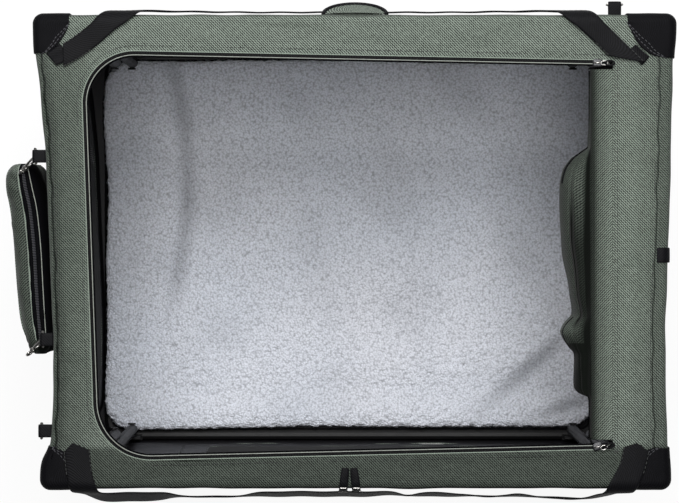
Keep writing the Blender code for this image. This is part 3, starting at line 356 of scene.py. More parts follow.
def oblong(share):
    """A thin oblong section with round edges: places across it and heights (1 - x^8)^(1/2), upper side then lower."""
    rise = np.sqrt(np.clip(1 - np.abs(share) ** 8, 0, 1))
    return np.concatenate([share, share[-2:0:-1]]), np.concatenate([rise, -rise[-2:0:-1]])


def band(name, path, across, up, width, thick, material, closed=False, crown=0.0):
    """A flat band: its section is a thin oblong with round edges, carried along the path.

    A section point is path + across times its place over the width + up times its place in the thickness.
    """
    flat, level = oblong(np.array([-1, -0.96, -0.86, -0.6, -0.3, 0, 0.3, 0.6, 0.86, 0.96, 1]))
    level = level * thick / 2 + crown * (1 - flat**2)
    across, up = np.broadcast_to(across, path.shape), np.broadcast_to(up, path.shape)
    width = np.broadcast_to(np.asarray(width, float), (len(path),))[:, None, None]
    points = path[:, None] + flat[None, :, None] * width / 2 * across[:, None] + level[None, :, None] * up[:, None]
    if not closed:
        points = poles(points)
    return sealed(grid_piece(name, points, material, closed=(closed, True)))


def block(name, centre, along, across, up, size, material, power):
    """A soft-edged block: a superellipsoid, each section an oblong |x/a|^p + |y/b|^p = 1 that shrinks to its poles."""
    turn = np.linspace(0, 2 * math.pi, 24, endpoint=False)
    rise = np.linspace(-math.pi / 2, math.pi / 2, 14)[:, None]
    x, y = (squared(np.cos(rise), 2 / power) * squared(wave(turn), 2 / power)[None] for wave in (np.cos, np.sin))
    z = np.broadcast_to(squared(np.sin(rise), 2 / power), x.shape)
    x, y, z = (share[..., None] * length / 2 for share, length in zip((x, y, z), size))
    return sealed(grid_piece(name, centre + x * along + y * across + z * up, material, closed=(False, True)))


def scattered(name, template, faces, centres, along, across, up, material):
    """One mesh of many copies of a small shape, each turned to its own three directions."""
    points = centres[:, None]
    for k, direction in enumerate((along, across, np.broadcast_to(up, centres.shape))):
        points = points + template[None, :, k : k + 1] * direction[:, None]
    shifted = np.asarray(faces)[None] + (np.arange(len(centres)) * len(template))[:, None, None]
    return sealed(mesh_piece(name, points, shifted.reshape(-1, len(faces[0])), material))


def bar_template(length, width, height):
    """A short bar with tapered ends, lying on the surface below it."""
    x, y, taper = length / 2, width / 2, 0.6
    low = [(-x, -y * taper), (x, -y * taper), (x, y * taper), (-x, y * taper)]
    points = [(a, b, -height * 0.3) for a, b in low]
    points += [(a * taper, b / taper * 0.8, height) for a, b in low]
    faces = [(0, 3, 2, 1), (4, 5, 6, 7), (0, 1, 5, 4), (1, 2, 6, 5), (2, 3, 7, 6), (3, 0, 4, 7)]
    return np.array(points), faces


STITCH = (2.9 * MM, 0.75 * MM, 0.4 * MM)
STITCH_GAP = 1.2 * MM


def stitches(name, path, material="dark_thread", up=UP, closed=False):
    """A row of lock stitches: short bars at equal steps along a path that lies on cloth."""
    both = np.concatenate([path, np.broadcast_to(up, path.shape)], axis=1)
    both = resampled(both, STITCH[0] + STITCH_GAP, closed)
    centres, up = both[:, :3], unit(both[:, 3:])
    along = headings(centres, closed)
    return scattered(name, *bar_template(*STITCH), centres, along, np.cross(up, along), up, material)


def zip_teeth(name, path, up, size, material):
    """A zip's teeth: short bars laid across a path."""
    along = headings(path)
    return scattered(name, *bar_template(*(v * MM for v in size)), path, np.cross(up, along), -along, up, material)


# ---------------------------------------------------------------- finishes


def add_node(tree, kind, inputs=None, output=0, **settings):
    """Add a node with its settings, fill its inputs with values or other nodes' outputs, and give one output."""
    node = tree.nodes.new(kind)
    for key, value in settings.items():
        setattr(node, key, value)
    for key, value in (inputs or {}).items():
        if isinstance(value, bpy.types.NodeSocket):
            tree.links.new(value, node.inputs[key])
        else:
            node.inputs[key].default_value = value
    return node.outputs[output]


def new_material(name, **sockets):
    """A Principled material with some of its sockets set, and its object coordinates."""
    material = bpy.data.materials.new(name)
    material.use_nodes = True
    tree = material.node_tree
    shader = tree.nodes["Principled BSDF"]
    for key, value in sockets.items():
        shader.inputs[key.replace("_", " ").title().replace("Ior", "IOR")].default_value = value
    return material, tree, shader, add_node(tree, "ShaderNodeTexCoord", output="Object")


def plug(tree, shader, sockets):
    """Link outputs into a shader's inputs."""
    for key, output in sockets.items():
        tree.links.new(output, shader.inputs[key])


def mix_colours(tree, share, first, second, **settings):
    """A colour that goes from first to second as share goes from 0 to 1."""
    return add_node(tree, "ShaderNodeMix", {0: share, 6: first, 7: second}, 2, data_type="RGBA", **settings)


def scaled_colour(colour, share):
    """A linear colour made lighter or darker, with full alpha."""
    return (*(min(1.0, v * share) for v in colour), 1.0)


def woven(name, colour, thread, relief, roughness, sheen, twill=2.0, contrast=0.35, gloss=0.25):
    """Woven cloth: warp and weft as two crossed waves and a diagonal twill wave, on the piece's cloth map.

    A wave texture's waves are 0.314 / scale long, or 0.628 / scale along each axis of its diagonal.
    thread and relief are in mm, and twill is in threads. The shade attribute darkens and dulls it.
    """
    material, tree, shader, place = new_material(name, roughness=roughness, sheen_weight=sheen, sheen_roughness=0.4)
    thread = thread * MM
    cloth = add_node(tree, "ShaderNodeUVMap", output="UV", uv_map="cloth")
    yarn = {"Vector": cloth, "Scale": 0.314 / thread, "Distortion": 0.5}
    warp, weft = (add_node(tree, "ShaderNodeTexWave", yarn, "Fac", bands_direction=axis) for axis in "XY")
    rib = {"Vector": cloth, "Scale": 0.628 / (thread * twill), "Distortion": 1.4, "Detail": 1.0, "Detail Scale": 1.5}
    diagonal = add_node(tree, "ShaderNodeTexWave", rib, "Fac", bands_direction="DIAGONAL")
    plain = add_node(tree, "ShaderNodeMath", {0: warp, 1: weft}, operation="MULTIPLY")
    height = add_node(tree, "ShaderNodeMix", {0: 0.6, 2: plain, 3: diagonal})
    fuzz = {"Vector": cloth, "Scale": 0.5 / thread, "Detail": 3.0, "Roughness": 0.7}
    grain = add_node(tree, "ShaderNodeMix", {0: 0.32, 2: height, 3: add_node(tree, "ShaderNodeTexNoise", fuzz)})
    crisp = add_node(tree, "ShaderNodeMapRange", {0: grain, 1: 0.26, 2: 0.62, 3: 0.0, 4: 1.0})
    weave = mix_colours(tree, crisp, scaled_colour(colour, 1 - contrast), scaled_colour(colour, 1 + contrast))
    cloudy = {"Vector": place, "Scale": 9.0, "Detail": 4.0, "Roughness": 0.6}
    faded = mix_colours(tree, add_node(tree, "ShaderNodeTexNoise", cloudy), (0.84, 0.84, 0.84, 1), (1, 1, 1, 1))
    tinted = mix_colours(tree, 1.0, weave, faded, blend_type="MULTIPLY")
    shade = add_node(tree, "ShaderNodeAttribute", output="Fac", attribute_name="shade")
    sockets = {
        "Base Color": mix_colours(tree, shade, tinted, scaled_colour(colour, 0.05)),
        "Specular IOR Level": add_node(tree, "ShaderNodeMix", {0: shade, 2: gloss, 3: 0.0}),
        "Normal": add_node(tree, "ShaderNodeBump", {"Strength": 0.75, "Distance": relief * MM, "Height": grain}),
    }
    plug(tree, shader, sockets)
    return material


def coil_nylon():
    """Extruded nylon of the zip coils: black and only faintly glossy."""
    material, tree, shader, place = new_material(
        "extruded_nylon_coil", roughness=0.55, specular_ior_level=0.12, base_color=(*hex_colour("#0c0c0d"), 1)
    )
    worn = add_node(tree, "ShaderNodeTexNoise", {"Vector": place, "Scale": 260.0, "Detail": 3.0})
    bump = add_node(tree, "ShaderNodeBump", {"Strength": 0.3, "Distance": 0.1 * MM, "Height": worn})
    plug(tree, shader, {"Normal": bump})
    return material


def thread(name, code):
    """Spun polyester sewing thread: matt, and uneven along its length."""
    material, tree, shader, place = new_material(name, roughness=0.7, sheen_weight=0.2)
    uneven = add_node(tree, "ShaderNodeTexNoise", {"Vector": place, "Scale": 420.0, "Detail": 2.0})
    colour = hex_colour(code)
    spun = mix_colours(tree, uneven, scaled_colour(colour, 0.6), scaled_colour(colour, 1.3))
    plug(tree, shader, {"Base Color": spun})
    return material


def fleece_pile():
    """Berber fleece, brushed polyester pile in 2.5 mm curls: very matt, pale on top, with painted shade between the
    curls.
    """
    colour = colours().fleece
    material, tree, shader, place = new_material(
        "berber_fleece_pale_grey", roughness=0.95, sheen_weight=0.5, sheen_roughness=0.6, specular_ior_level=0.15
    )
    curl = {"Vector": place, "Scale": 1 / (2.5 * MM), "Smoothness": 0.3}
    curls = add_node(tree, "ShaderNodeTexVoronoi", curl, "Distance", feature="SMOOTH_F1")
    hair = {"Vector": place, "Scale": 1 / (1.6 * MM), "Detail": 4.0, "Roughness": 0.7}
    pile = add_node(tree, "ShaderNodeMix", {0: 0.3, 2: curls, 3: add_node(tree, "ShaderNodeTexNoise", hair)})
    curl_gap_shade = add_node(tree, "ShaderNodeMapRange", {0: pile, 1: 0.38, 2: 0.8, 3: 0.0, 4: 1.0})
    tint = mix_colours(tree, curl_gap_shade, scaled_colour(colour, 1.0), scaled_colour(colour, 0.55))
    clouds = add_node(tree, "ShaderNodeTexNoise", {"Vector": place, "Scale": 5.0, "Detail": 3.0})
    cool = mix_colours(tree, clouds, (0.86, 0.91, 1.0, 1), (0.97, 0.965, 1.0, 1))
    both = mix_colours(tree, 1.0, tint, cool, blend_type="MULTIPLY")
    shade = add_node(tree, "ShaderNodeAttribute", output="Fac", attribute_name="shade")
    relief = {"Strength": 1.0, "Distance": 2.6 * MM, "Height": pile}
    sockets = {
        "Base Color": mix_colours(tree, shade, both, (0.05, 0.055, 0.07, 1)),
        "Normal": add_node(tree, "ShaderNodeBump", relief, invert=True),
    }
    plug(tree, shader, sockets)
    return material


def coated(name, code, metallic, roughness, grain, relief):
    """Metal or hard plastic with a fine surface grain; grain and relief are in mm."""
    material, tree, shader, place = new_material(name, metallic=metallic)
    fine = {"Vector": place, "Scale": 1 / (grain * MM), "Detail": 3.0, "Roughness": 0.6}
    peel = add_node(tree, "ShaderNodeTexNoise", fine)
    wear = add_node(tree, "ShaderNodeTexNoise", {"Vector": place, "Scale": 60.0, "Detail": 5.0})
    colour = hex_colour(code)
    sockets = {
        "Base Color": mix_colours(tree, wear, scaled_colour(colour, 0.8), scaled_colour(colour, 1.15)),
        "Roughness": add_node(tree, "ShaderNodeMapRange", {0: wear, 3: roughness - 0.08, 4: roughness + 0.1}),
        "Normal": add_node(tree, "ShaderNodeBump", {"Strength": 0.4, "Distance": relief * MM, "Height": peel}),
    }
    plug(tree, shader, sockets)
    return material


FINISHES = {
    # 600-denier polyester dyed moss green: matt, its diagonal weave drawn 2.8 mm wide so that it shows
    "green": lambda: woven(
        "woven_polyester_moss_green", colours().green, 2.0, 0.5, 0.78, 0.05, twill=1.4, contrast=0.95
    ),
    # The same cloth where the hem is folded, painted paler as a highlight along its raised edge
    "green_painted_highlight": lambda: woven("folded_polyester_painted_highlight", colours().edge, 1.05, 0.2, 0.75, 0.1),
    # Heavier black polyester of the corner patches: a fine weave that hardly shows
    "black_cloth": lambda: woven(
        "woven_polyester_black", colours().black, 1.2, 0.3, 0.7, 0.01, contrast=0.9, gloss=0.08
    ),
    # Polyurethane-coated inner side of the cover: near black and smoother
    "lining": lambda: woven(
        "coated_polyester_lining", colours().lining, 1.4, 0.1, 0.5, 0.0, contrast=0.12, gloss=0.2
    ),
    # Black polypropylene webbing: ribs drawn 2.6 mm apart so that they show, crossed by the weft
    "webbing": lambda: woven(
        "polypropylene_webbing_black", colours().webbing, 1.2, 0.4, 0.6, 0.01, twill=2.2, contrast=0.9, gloss=0.1
    ),
    # Black knitted zip tape: dull and finely ribbed
    "zip_tape": lambda: woven(
        "knitted_zip_tape", scaled_colour(colours().black, 0.6)[:3], 0.7, 0.15, 0.85, 0.0, contrast=0.2, gloss=0.05
    ),
    "coil": coil_nylon,
    "pale_thread": lambda: thread("spun_thread_pale", "#6f776e"),
    "dark_thread": lambda: thread("spun_thread_dark", "#161917"),
    "patch_thread": lambda: thread("spun_thread_charcoal", "#2c2c31"),
    "grey_edge": lambda: thread("knitted_piping_grey", "#82867f"),
    "grey_coil": lambda: thread("moulded_coil_grey", "#24242c"),
    "netting": lambda: thread("knitted_polyester_net", "#101012"),
    "fleece": fleece_pile,
    # Powder-coated steel tube: satin black with a fine orange peel
    "tube": lambda: coated("powder_coated_steel", "#080809", 0.0, 0.55, 0.7, 0.05),
    # Injection-moulded nylon: fine spark-eroded grain
    "nylon": lambda: coated("moulded_nylon", "#060607", 0.0, 0.7, 0.35, 0.04),
    # Nickel-plated zinc: grey and bright, with small scuffs
    "nickel": lambda: coated("nickel_plated_zinc", "#9c9a97", 1.0, 0.28, 1.2, 0.02),
    # The zips' die-cast sliders: zinc painted black, its gloss worn to metal on the edges
    "slider": lambda: coated("painted_zinc_black", "#1c1c1f", 0.35, 0.3, 0.9, 0.03),
}
MADE = {}


def finish(name):
    """One material by its short name, made when it is first asked for."""
    if name not in MADE:
        MADE[name] = FINISHES[name]()
    return MADE[name]


# ---------------------------------------------------------------- surfaces of the cover


def over_rim(side, along, across, lift):
    """Places on the front (-1) or back (1) rim: across runs over its round edge, negative on the top.

    The edge is a quarter circle: y = half width - round + radius sin a, z = height - round + radius cos a.
    """
    along, across, lift = np.broadcast_arrays(along, across, lift)
    turn = np.clip(across / RIM_ROUND + math.pi / 4, 0, math.pi / 2)
    radius = RIM_ROUND + lift
    y = HALF_Y - RIM_ROUND + radius * np.sin(turn) + np.minimum(across + RIM_ARC, 0)
    z = HEIGHT - RIM_ROUND + radius * np.cos(turn) - np.maximum(across - RIM_ARC, 0)
    return np.stack([along, side * y, z], axis=-1)


WALL_OUT = {"front": (0.0, -1.0, 0.0), "back": (0.0, 1.0, 0.0), "left": (-1.0, 0.0, 0.0), "right": (1.0, 0.0, 0.0)}


def on_wall(side, across, z, out):
    """Places on a wall: the ends follow their bow, and the front and back run on round the corners."""
    across, z, out = np.broadcast_arrays(across, z, out)
    sign = sum(WALL_OUT[side])
    if side in ("left", "right"):
        return np.stack([sign * (end_reach(sign, across) + out), across, z], axis=-1)
    straight = HALF_X - CORNER_ROUND
    turn = np.clip((np.abs(across) - straight) / CORNER_ROUND, 0, math.pi / 2) * np.sign(across)
    radius = CORNER_ROUND + out
    x = np.clip(across, -straight, straight) + radius * np.sin(turn)
    drawn = end_reach(np.sign(across), sign * (HALF_Y - CORNER_ROUND)) - HALF_X
    x = x + np.sign(across) * drawn * np.clip(np.abs(x) / straight, 0, 1)
    y = sign * (HALF_Y - CORNER_ROUND + radius * np.cos(turn))
    return np.stack([x, y, z], axis=-1)


def opening_loop(opening, grow=0.0, side_steps=40, corner_steps=12, skip_sill=False):
    """A door's or window's outline on its wall, grown by some width: round at the head, half as round at the sill.

    Without its sill it runs from the right foot up round the head and down to the left foot.
    """
    half, sill, head, radius = opening
    half, sill, head = half + grow, sill - grow, head + grow
    corners = [(half, head), (-half, head), (-half, sill), (half, sill)]
    rounds = [radius + grow, radius + grow, radius / 2 + grow, radius / 2 + grow]
    loop = loop_points(corners, rounds, side_steps, corner_steps)
    if skip_sill:
        loop = np.roll(loop, corner_steps, axis=0)[: 3 * (side_steps + corner_steps)]
    return loop


def doorway_path(inset, step=2 * MM):
    """The top doorway's three free sides from the seam's back end to its front end, drawn in by inset."""
    loop = loop_points(DOORWAY_CORNERS, DOORWAY_ROUNDS)
    path = resampled(loop[CORNER_STEPS : len(loop) - SIDE_STEPS], step)
    ahead = headings(path)
    return path + np.stack([-ahead[:, 1], ahead[:, 0]], axis=1) * inset


# ---------------------------------------------------------------- top of the cover


# Shares of painted shade on the top's front and left strips
FRONT_PAINTED_SHADE = 0.62
LEFT_PAINTED_SHADE = 0.4
# Where the back strap's sewn ends pull at the cloth, and how the drag lines that fan out from each start
STRAP_PULLS = (((-286 * MM, 188 * MM), 0.9), ((272 * MM, 188 * MM), -0.9))


def top_relief(points, doorway):
    """Height and shade of the top's cloth: ripples, puckers beside the zips, end seams and drag lines."""
    plan = points[..., :2]
    x, y = plan[..., 0], plan[..., 1]
    from_edge = np.linalg.norm(plan - doorway, axis=-1)
    to_rim = np.linalg.norm(plan - cover_loop(), axis=-1)
    loose = eased(0, 14 * MM, from_edge) * eased(2 * MM, 16 * MM, to_rim)
    height = 0.7 * MM * ripples(plan, 70 * MM, 3) * loose
    height += 0.35 * MM * ripples(plan, 22 * MM, 4) * loose
    # Puckers that the zip's seam draws in the cloth next to it
    pucker = ripples(run_of(doorway)[:, None], 9 * MM, 5)[None]
    height += 0.22 * MM * pucker * bell(from_edge, 4 * MM, 6 * MM)
    height -= 0.8 * MM * (1 - eased(0, 1.6 * MM, from_edge)) * (x < SEAM_X - 1 * MM)
    # Seams that join the top to the end walls
    across_end = end_reach(np.sign(x), y) - np.abs(x) + 0.5 * MM * ripples(y[..., None], 40 * MM, 6, 9)
    seam_at = np.where(x > 0, 13.5 * MM, 5.2 * MM)
    within = (np.abs(y) < HALF_Y - 6 * MM) * (np.abs(x) > HALF_X - 50 * MM)
    groove = bell(across_end, seam_at, 0.9 * MM) * within
    height += 0.6 * MM * bell(across_end, seam_at - 2.4 * MM, 1.6 * MM) * within - 0.7 * MM * groove
    for (pull_x, pull_y), start in STRAP_PULLS:
        away = np.hypot(x - pull_x, y - pull_y)
        fan = np.sin(np.arctan2(y - pull_y, x - pull_x) * 26 + start)
        height += 0.45 * MM * fan * eased(8 * MM, 26 * MM, away) * bell(away, 0, 62 * MM) * loose
    # Under the corner patches the cloth lies flat
    under_patch = eased(HALF_X - 62 * MM, HALF_X - 40 * MM, np.abs(x))
    under_patch *= eased(HALF_Y - 60 * MM, HALF_Y - 38 * MM, np.abs(y))
    height *= 1 - 0.9 * under_patch
    # Painted shade darkens the front and left strips and bands beside the end seams; the right strip outside its seam
    # is darker too, and the cloth is darker in the seams' grooves and along the rim's edge
    front = eased(-HALF_Y + 44 * MM, -HALF_Y + 36 * MM, y) * eased(-HALF_X + 30 * MM, -HALF_X + 64 * MM, x)
    left = eased(-HALF_X + 70 * MM, -HALF_X + 30 * MM, x) * eased(HALF_Y + 10 * MM, HALF_Y - 90 * MM, y)
    right = 0.36 * eased(seam_at, seam_at - 3 * MM, across_end) + 0.14 * bell(across_end, 27 * MM, 6 * MM)
    shade = 0.80 * groove * (to_rim > 0.5 * MM) + FRONT_PAINTED_SHADE * front + LEFT_PAINTED_SHADE * left + right * (x > 0) * within
    shade += 0.22 * bell(across_end, seam_at + 3.5 * MM, 5 * MM) * within
    shade += 0.55 * bell(HALF_Y - np.abs(y), 0.6 * MM, 1.3 * MM)
    return height, np.clip(shade, 0, 1)


def build_top_panel():
    """The cover's top: rows run from the doorway's edge out to the rim, over it and down the skirt."""
    doorway = loop_points(DOORWAY_CORNERS, DOORWAY_ROUNDS)
    share = (np.linspace(0, 1, 60) ** 1.15)[:, None, None]
    flat = at_height(doorway + (cover_loop(-RIM_ROUND) - doorway) * share, HEIGHT)
    over = [
        at_height(cover_loop(RIM_ROUND * (math.sin(a) - 1)), HEIGHT - RIM_ROUND * (1 - math.cos(a)))
        for a in np.linspace(0, math.pi / 2, 9)[1:]
    ]
    down = [at_height(cover_loop(), z) for z in np.linspace(HEIGHT - RIM_ROUND, HEIGHT - TOP_SKIRT, 7)[1:]]
    points = np.concatenate([flat, over, down])
    height, shade = top_relief(points, doorway)
    plan, z = points[..., :2], points[..., 2]
    outward = unit(plan)
    bulge = 0.3 * MM * ripples(np.stack([plan.sum(axis=-1), z], axis=-1), 60 * MM, 8)
    bulge[: len(flat)] = 0
    uv = plan + outward * np.maximum(HEIGHT - z - RIM_ROUND * 0.3, 0)[..., None]
    cloth = at_height(plan + outward * bulge[..., None], z + height)
    top = grid_piece("top_cloth", cloth, "green", closed=(False, True), shade=shade, uv=uv, flip=True)
    thickened(top, CLOTH, "lining")
    placed(top, "top", "green_polyester", "top_panel")
    rows = [stitches("edge_stitches", at_height(doorway_path(-5.2 * MM, 1.5 * MM), HEIGHT + 0.1 * MM))]
    ys = np.linspace(FRONT_RIGHT[1] - 6 * MM, BACK_RIGHT[1] + 6 * MM, 150)
    for gap in (1.8, 4.6):
        line = np.stack([np.full_like(ys, SEAM_X + gap * MM), ys], axis=1)
        rows.append(stitches(f"hinge_stitches_{gap}", at_height(line, HEIGHT + 0.15 * MM)))
    ys = np.linspace(-HALF_Y + 12 * MM, HALF_Y - 12 * MM, 150)
    for sign, inset in ((1, 15.8), (-1, 7.6)):
        line = np.stack([sign * (end_reach(sign, ys) - inset * MM), ys], axis=1)
        rows.append(stitches(f"end_stitches_{sign}", at_height(line, HEIGHT + 0.1 * MM)))
    placed(joined("top_stitches", rows), "top", "green_polyester")


def build_top_zips():
    """Zip tape, coil and piping round the doorway, with the two sliders parked at the seam."""
    path = doorway_path(ZIP_TAPE / 2)
    across = np.cross(UP, headings(at_height(path, 0.0)))
    tape = band("tape", at_height(path, HEIGHT - 1.0 * MM), across, UP, ZIP_TAPE, 0.9 * MM, "zip_tape")
    coil_path = resampled(at_height(doorway_path(1.7 * MM, 1 * MM), HEIGHT - 0.35 * MM), 1.5 * MM)
    coil = zip_teeth("coil", coil_path, UP, (2.6, 0.95, 0.7), "coil")
    # A painted highlight along the doorway's folded hem
    hem = tube("hem", at_height(doorway_path(-0.25 * MM), HEIGHT - 0.1 * MM), 0.55 * MM, "green_painted_highlight")
    piping = tube("piping", at_height(doorway_path(3.7 * MM), HEIGHT - 0.35 * MM), 0.45 * MM, "grey_edge")
    placed(joined("top_zip_tape", [tape, coil]), "top", "black_zip", "top_zip")
    placed(joined("top_zip_piping", [hem, piping]), "top", "green_polyester")
    for name, run in (("back", path), ("front", path[::-1])):
        along = unit(np.append(run[0] - run[4], 0.0))
        build_slider(name, along)
        build_pull(name, along)


def cheeks(base, along, across, up, material):
    """The two cheek plates of a zip slider, above a point of its tape."""
    return [
        block("cheek", base + up * lift * MM, along, across, up, np.array(size) * MM, material, 4)
        for lift, size in ((1.0, (10, 7.6, 1.5)), (2.3, (9, 6, 1.0)))
    ]


def build_slider(name, along):
    """A zip slider: two cheek plates, and the bridge over them that its pull hangs on."""
    low, high = box_of(f"top_slider_{name}")
    base = np.array([*(low + high)[:2] / 2, low[2]])
    across = np.cross(UP, along)
    t = np.linspace(0, math.pi, 13)[:, None]
    arch = base + along * np.cos(t) * 3.4 * MM + UP * (np.sin(t) * 1.5 * MM + 2.6 * MM)
    bridge = tube("bridge", arch, 0.75 * MM, "nickel", up=across)
    slider = joined(f"zip_slider_{name}", [*cheeks(base, along, across, UP, "slider"), bridge])
    placed(slider, f"top_slider_{name}", "nickel_plate", f"top_slider_{name}")


def build_pull(name, along):
    """A zip pull: an oval ring of plated zinc that carries a loop of black cord."""
    low, high = box_of(f"top_pull_{name}")
    centre = (low + high) / 2
    across = np.cross(UP, along)
    t = np.linspace(0, 2 * math.pi, 28, endpoint=False)[:, None]
    ring_at = centre - along * ((high - low) @ np.abs(along) / 2 - 3.4 * MM)
    ring = ring_at + along * np.cos(t) * 3.2 * MM + across * np.sin(t) * 2.0 * MM
    loop = centre + along * 2.4 * MM + along * np.cos(t) * 4.4 * MM + across * np.sin(t) * 2.2 * MM
    metal = tube("ring", ring, 0.6 * MM, "nickel", closed=True)
    cord = tube("cord", loop, 1.0 * MM, "webbing", closed=True)
    placed(joined(f"zip_pull_{name}", [metal, cord]), f"top_pull_{name}", "nickel_plate", f"top_pull_{name}")


# The unzipped top door: the roll's reach, and the bunch's greatest reach and depth
DOOR_ROLL = 20.5 * MM
DOOR_BUNCH = 27 * MM
DOOR_DEPTH = 84 * MM
# Its section in twelve points from the seam over the roll: shares of roll and bunch across; mm, share of the depth
# and mm of crease down
DOOR_SECTION = [
    (0, 0, 0, 0, 0), (0.5, 0, 0.7, 0, 0), (0.80, 0, -0.6, 0, 0), (0.98, 0, -4.5, 0, 0),
    (1, 0.25, -8, -0.05, 0), (1, 0.56, -9, -0.08, -2), (1, 0.66, -10, -0.11, -9), (1, 0.80, -11, -0.14, 3),
    (1, 1, -12, -0.30, 0), (1, 0.94, -11, -0.62, 0), (1, 0.5, -7, -0.92, 0), (0.6, 0, -2, -0.90, 0),
]
# Along the seam from front to back: place, bunch reach, bunch depth and crease, each a share
DOOR_SHARES = np.array([
    (0.000, 0.00, 0.18, 0.0), (0.060, 0.00, 0.20, 0.0), (0.110, 0.02, 0.26, 0.0), (0.122, 0.36, 0.46, 0.0),
    (0.136, 0.49, 0.58, 0.0), (0.180, 0.50, 0.72, 0.0), (0.228, 0.49, 0.84, 0.0), (0.244, 0.66, 0.88, 0.0),
    (0.268, 0.86, 0.92, 0.0), (0.290, 0.94, 0.93, 0.1), (0.312, 0.78, 0.95, 0.5), (0.334, 0.50, 0.96, 1.0),
    (0.390, 0.62, 0.97, 1.0), (0.470, 0.80, 1.00, 1.0), (0.540, 0.90, 0.99, 1.0), (0.600, 0.97, 0.97, 0.6),
    (0.660, 1.00, 0.93, 0.2), (0.700, 0.97, 0.88, 0.0), (0.735, 0.84, 0.80, 0.0), (0.762, 0.58, 0.64, 0.0),
    (0.780, 0.26, 0.46, 0.0), (0.792, 0.04, 0.32, 0.0), (0.880, 0.00, 0.22, 0.0), (1.000, 0.00, 0.18, 0.0),
])


def door_section(reach, depth, crease, per_span):
    """Sections of the tucked door, each a smooth curve: places across from the seam, and heights, for all stations.

    Every section leaves the seam flat, turns down over the roll, swells out to its reach and folds back under.
    A crease is a sharp valley at two thirds of the swell.
    """
    roll, bunch, drop, share, valley = np.array(DOOR_SECTION, float).T[..., None]
    across = DOOR_ROLL * roll + DOOR_BUNCH * reach * bunch
    down = drop * MM + DOOR_DEPTH * depth * share + valley * MM * crease
    curve = curve_through(np.concatenate([across, down], axis=1), per_span)
    return curve[:, : len(reach)], curve[:, len(reach) :]


def build_top_door():
    """The unzipped top door: rolled over the seam and bunched under the right strip, with its bound edge."""
    low, high = box_of("top_door")
    length = float(high[1] - low[1])
    stations = curve_through(DOOR_SHARES, 12)
    # The places run on evenly between the rows, so that no section overtakes the next
    rows = np.arange(len(DOOR_SHARES))
    place = np.interp(np.linspace(0, rows[-1], len(stations)), rows, DOOR_SHARES[:, 0])
    reach, depth, crease = np.clip(stations[:, 1:], 0, 1.02).T
    across, down = door_section(reach, depth, crease, 8)
    t = np.arange(len(across))[:, None] / 8
    y = np.broadcast_to(low[1] + length * place, across.shape)
    soft = eased(3.6, 4.6, t) * eased(0.02, 0.3, reach)
    folds = 0.8 * MM * ripples(np.stack([y, down], axis=-1), 62 * MM, 17)
    x = SEAM_X - across - folds * soft * (1 - 0.6 * bell(t, 8, 0.8))
    z = HEIGHT - 0.2 * MM + down + folds * soft * 0.7
    points = np.stack([x, np.clip(y, low[1] + 0.2 * MM, high[1] - 0.2 * MM), z], axis=-1)
    # Painted shade on the door: the roll darkens from the seam over its round edge, and the bunch is darker towards its
    # front and in the crease, with painted highlights on its bulges and on the ridge beside the crease; the front piece
    # is dark as the door's black underside
    roll_painted_shade = (0.34 * eased(0.1, 1.1, t) + 0.5 * eased(1.0, 2.6, t)) * eased(4.2, 3.4, t)
    bunch = 0.68 + 0.24 * eased(0.66, 0.50, place) * eased(8.2, 6.6, t) + 0.4 * crease * bell(t, 6.0, 0.55)
    bunch = bunch - 0.34 * bell(place, 0.30, 0.026) * eased(4, 5.5, t) - 0.10 * bell(place, 0.70, 0.05)
    bunch = bunch - 0.16 * bell(t, 7.3, 0.8) * crease + 1.2 * eased(0.262, 0.238, place)
    shade = np.clip(roll_painted_shade + bunch * eased(2.9, 4.2, t), 0, 1)
    cloth = thickened(grid_piece("top_door_cloth", points, "green", shade=shade), 1.0 * MM, "lining")
    placed(cloth, "top_door", "green_polyester", "top_door")
    # The bound edge of the door's rounded end, and the bound lower edge of the cuff
    trim = []
    for name, row, first, last, lift, radius in (
        ("door_binding", 62, 0.690, 0.797, 1.2, 1.1),
        ("cuff_binding", 63, 0.245, 0.330, 0.6, 0.8),
    ):
        line = points[row, (place > first) & (place < last)][::4] + UP * lift * MM
        trim.append(tube(name, resampled(line, 2 * MM), radius * MM, "webbing"))
    placed(joined("top_door_trim", trim), "top_door", "black_webbing")


# ---------------------------------------------------------------- walls and floor


WALL_LOW = FLOOR_SKIRT
WALL_HIGH = HEIGHT - TOP_SKIRT


def squashed(piece):
    """Give a wall's cloth a mesh of its own."""
    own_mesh(piece)


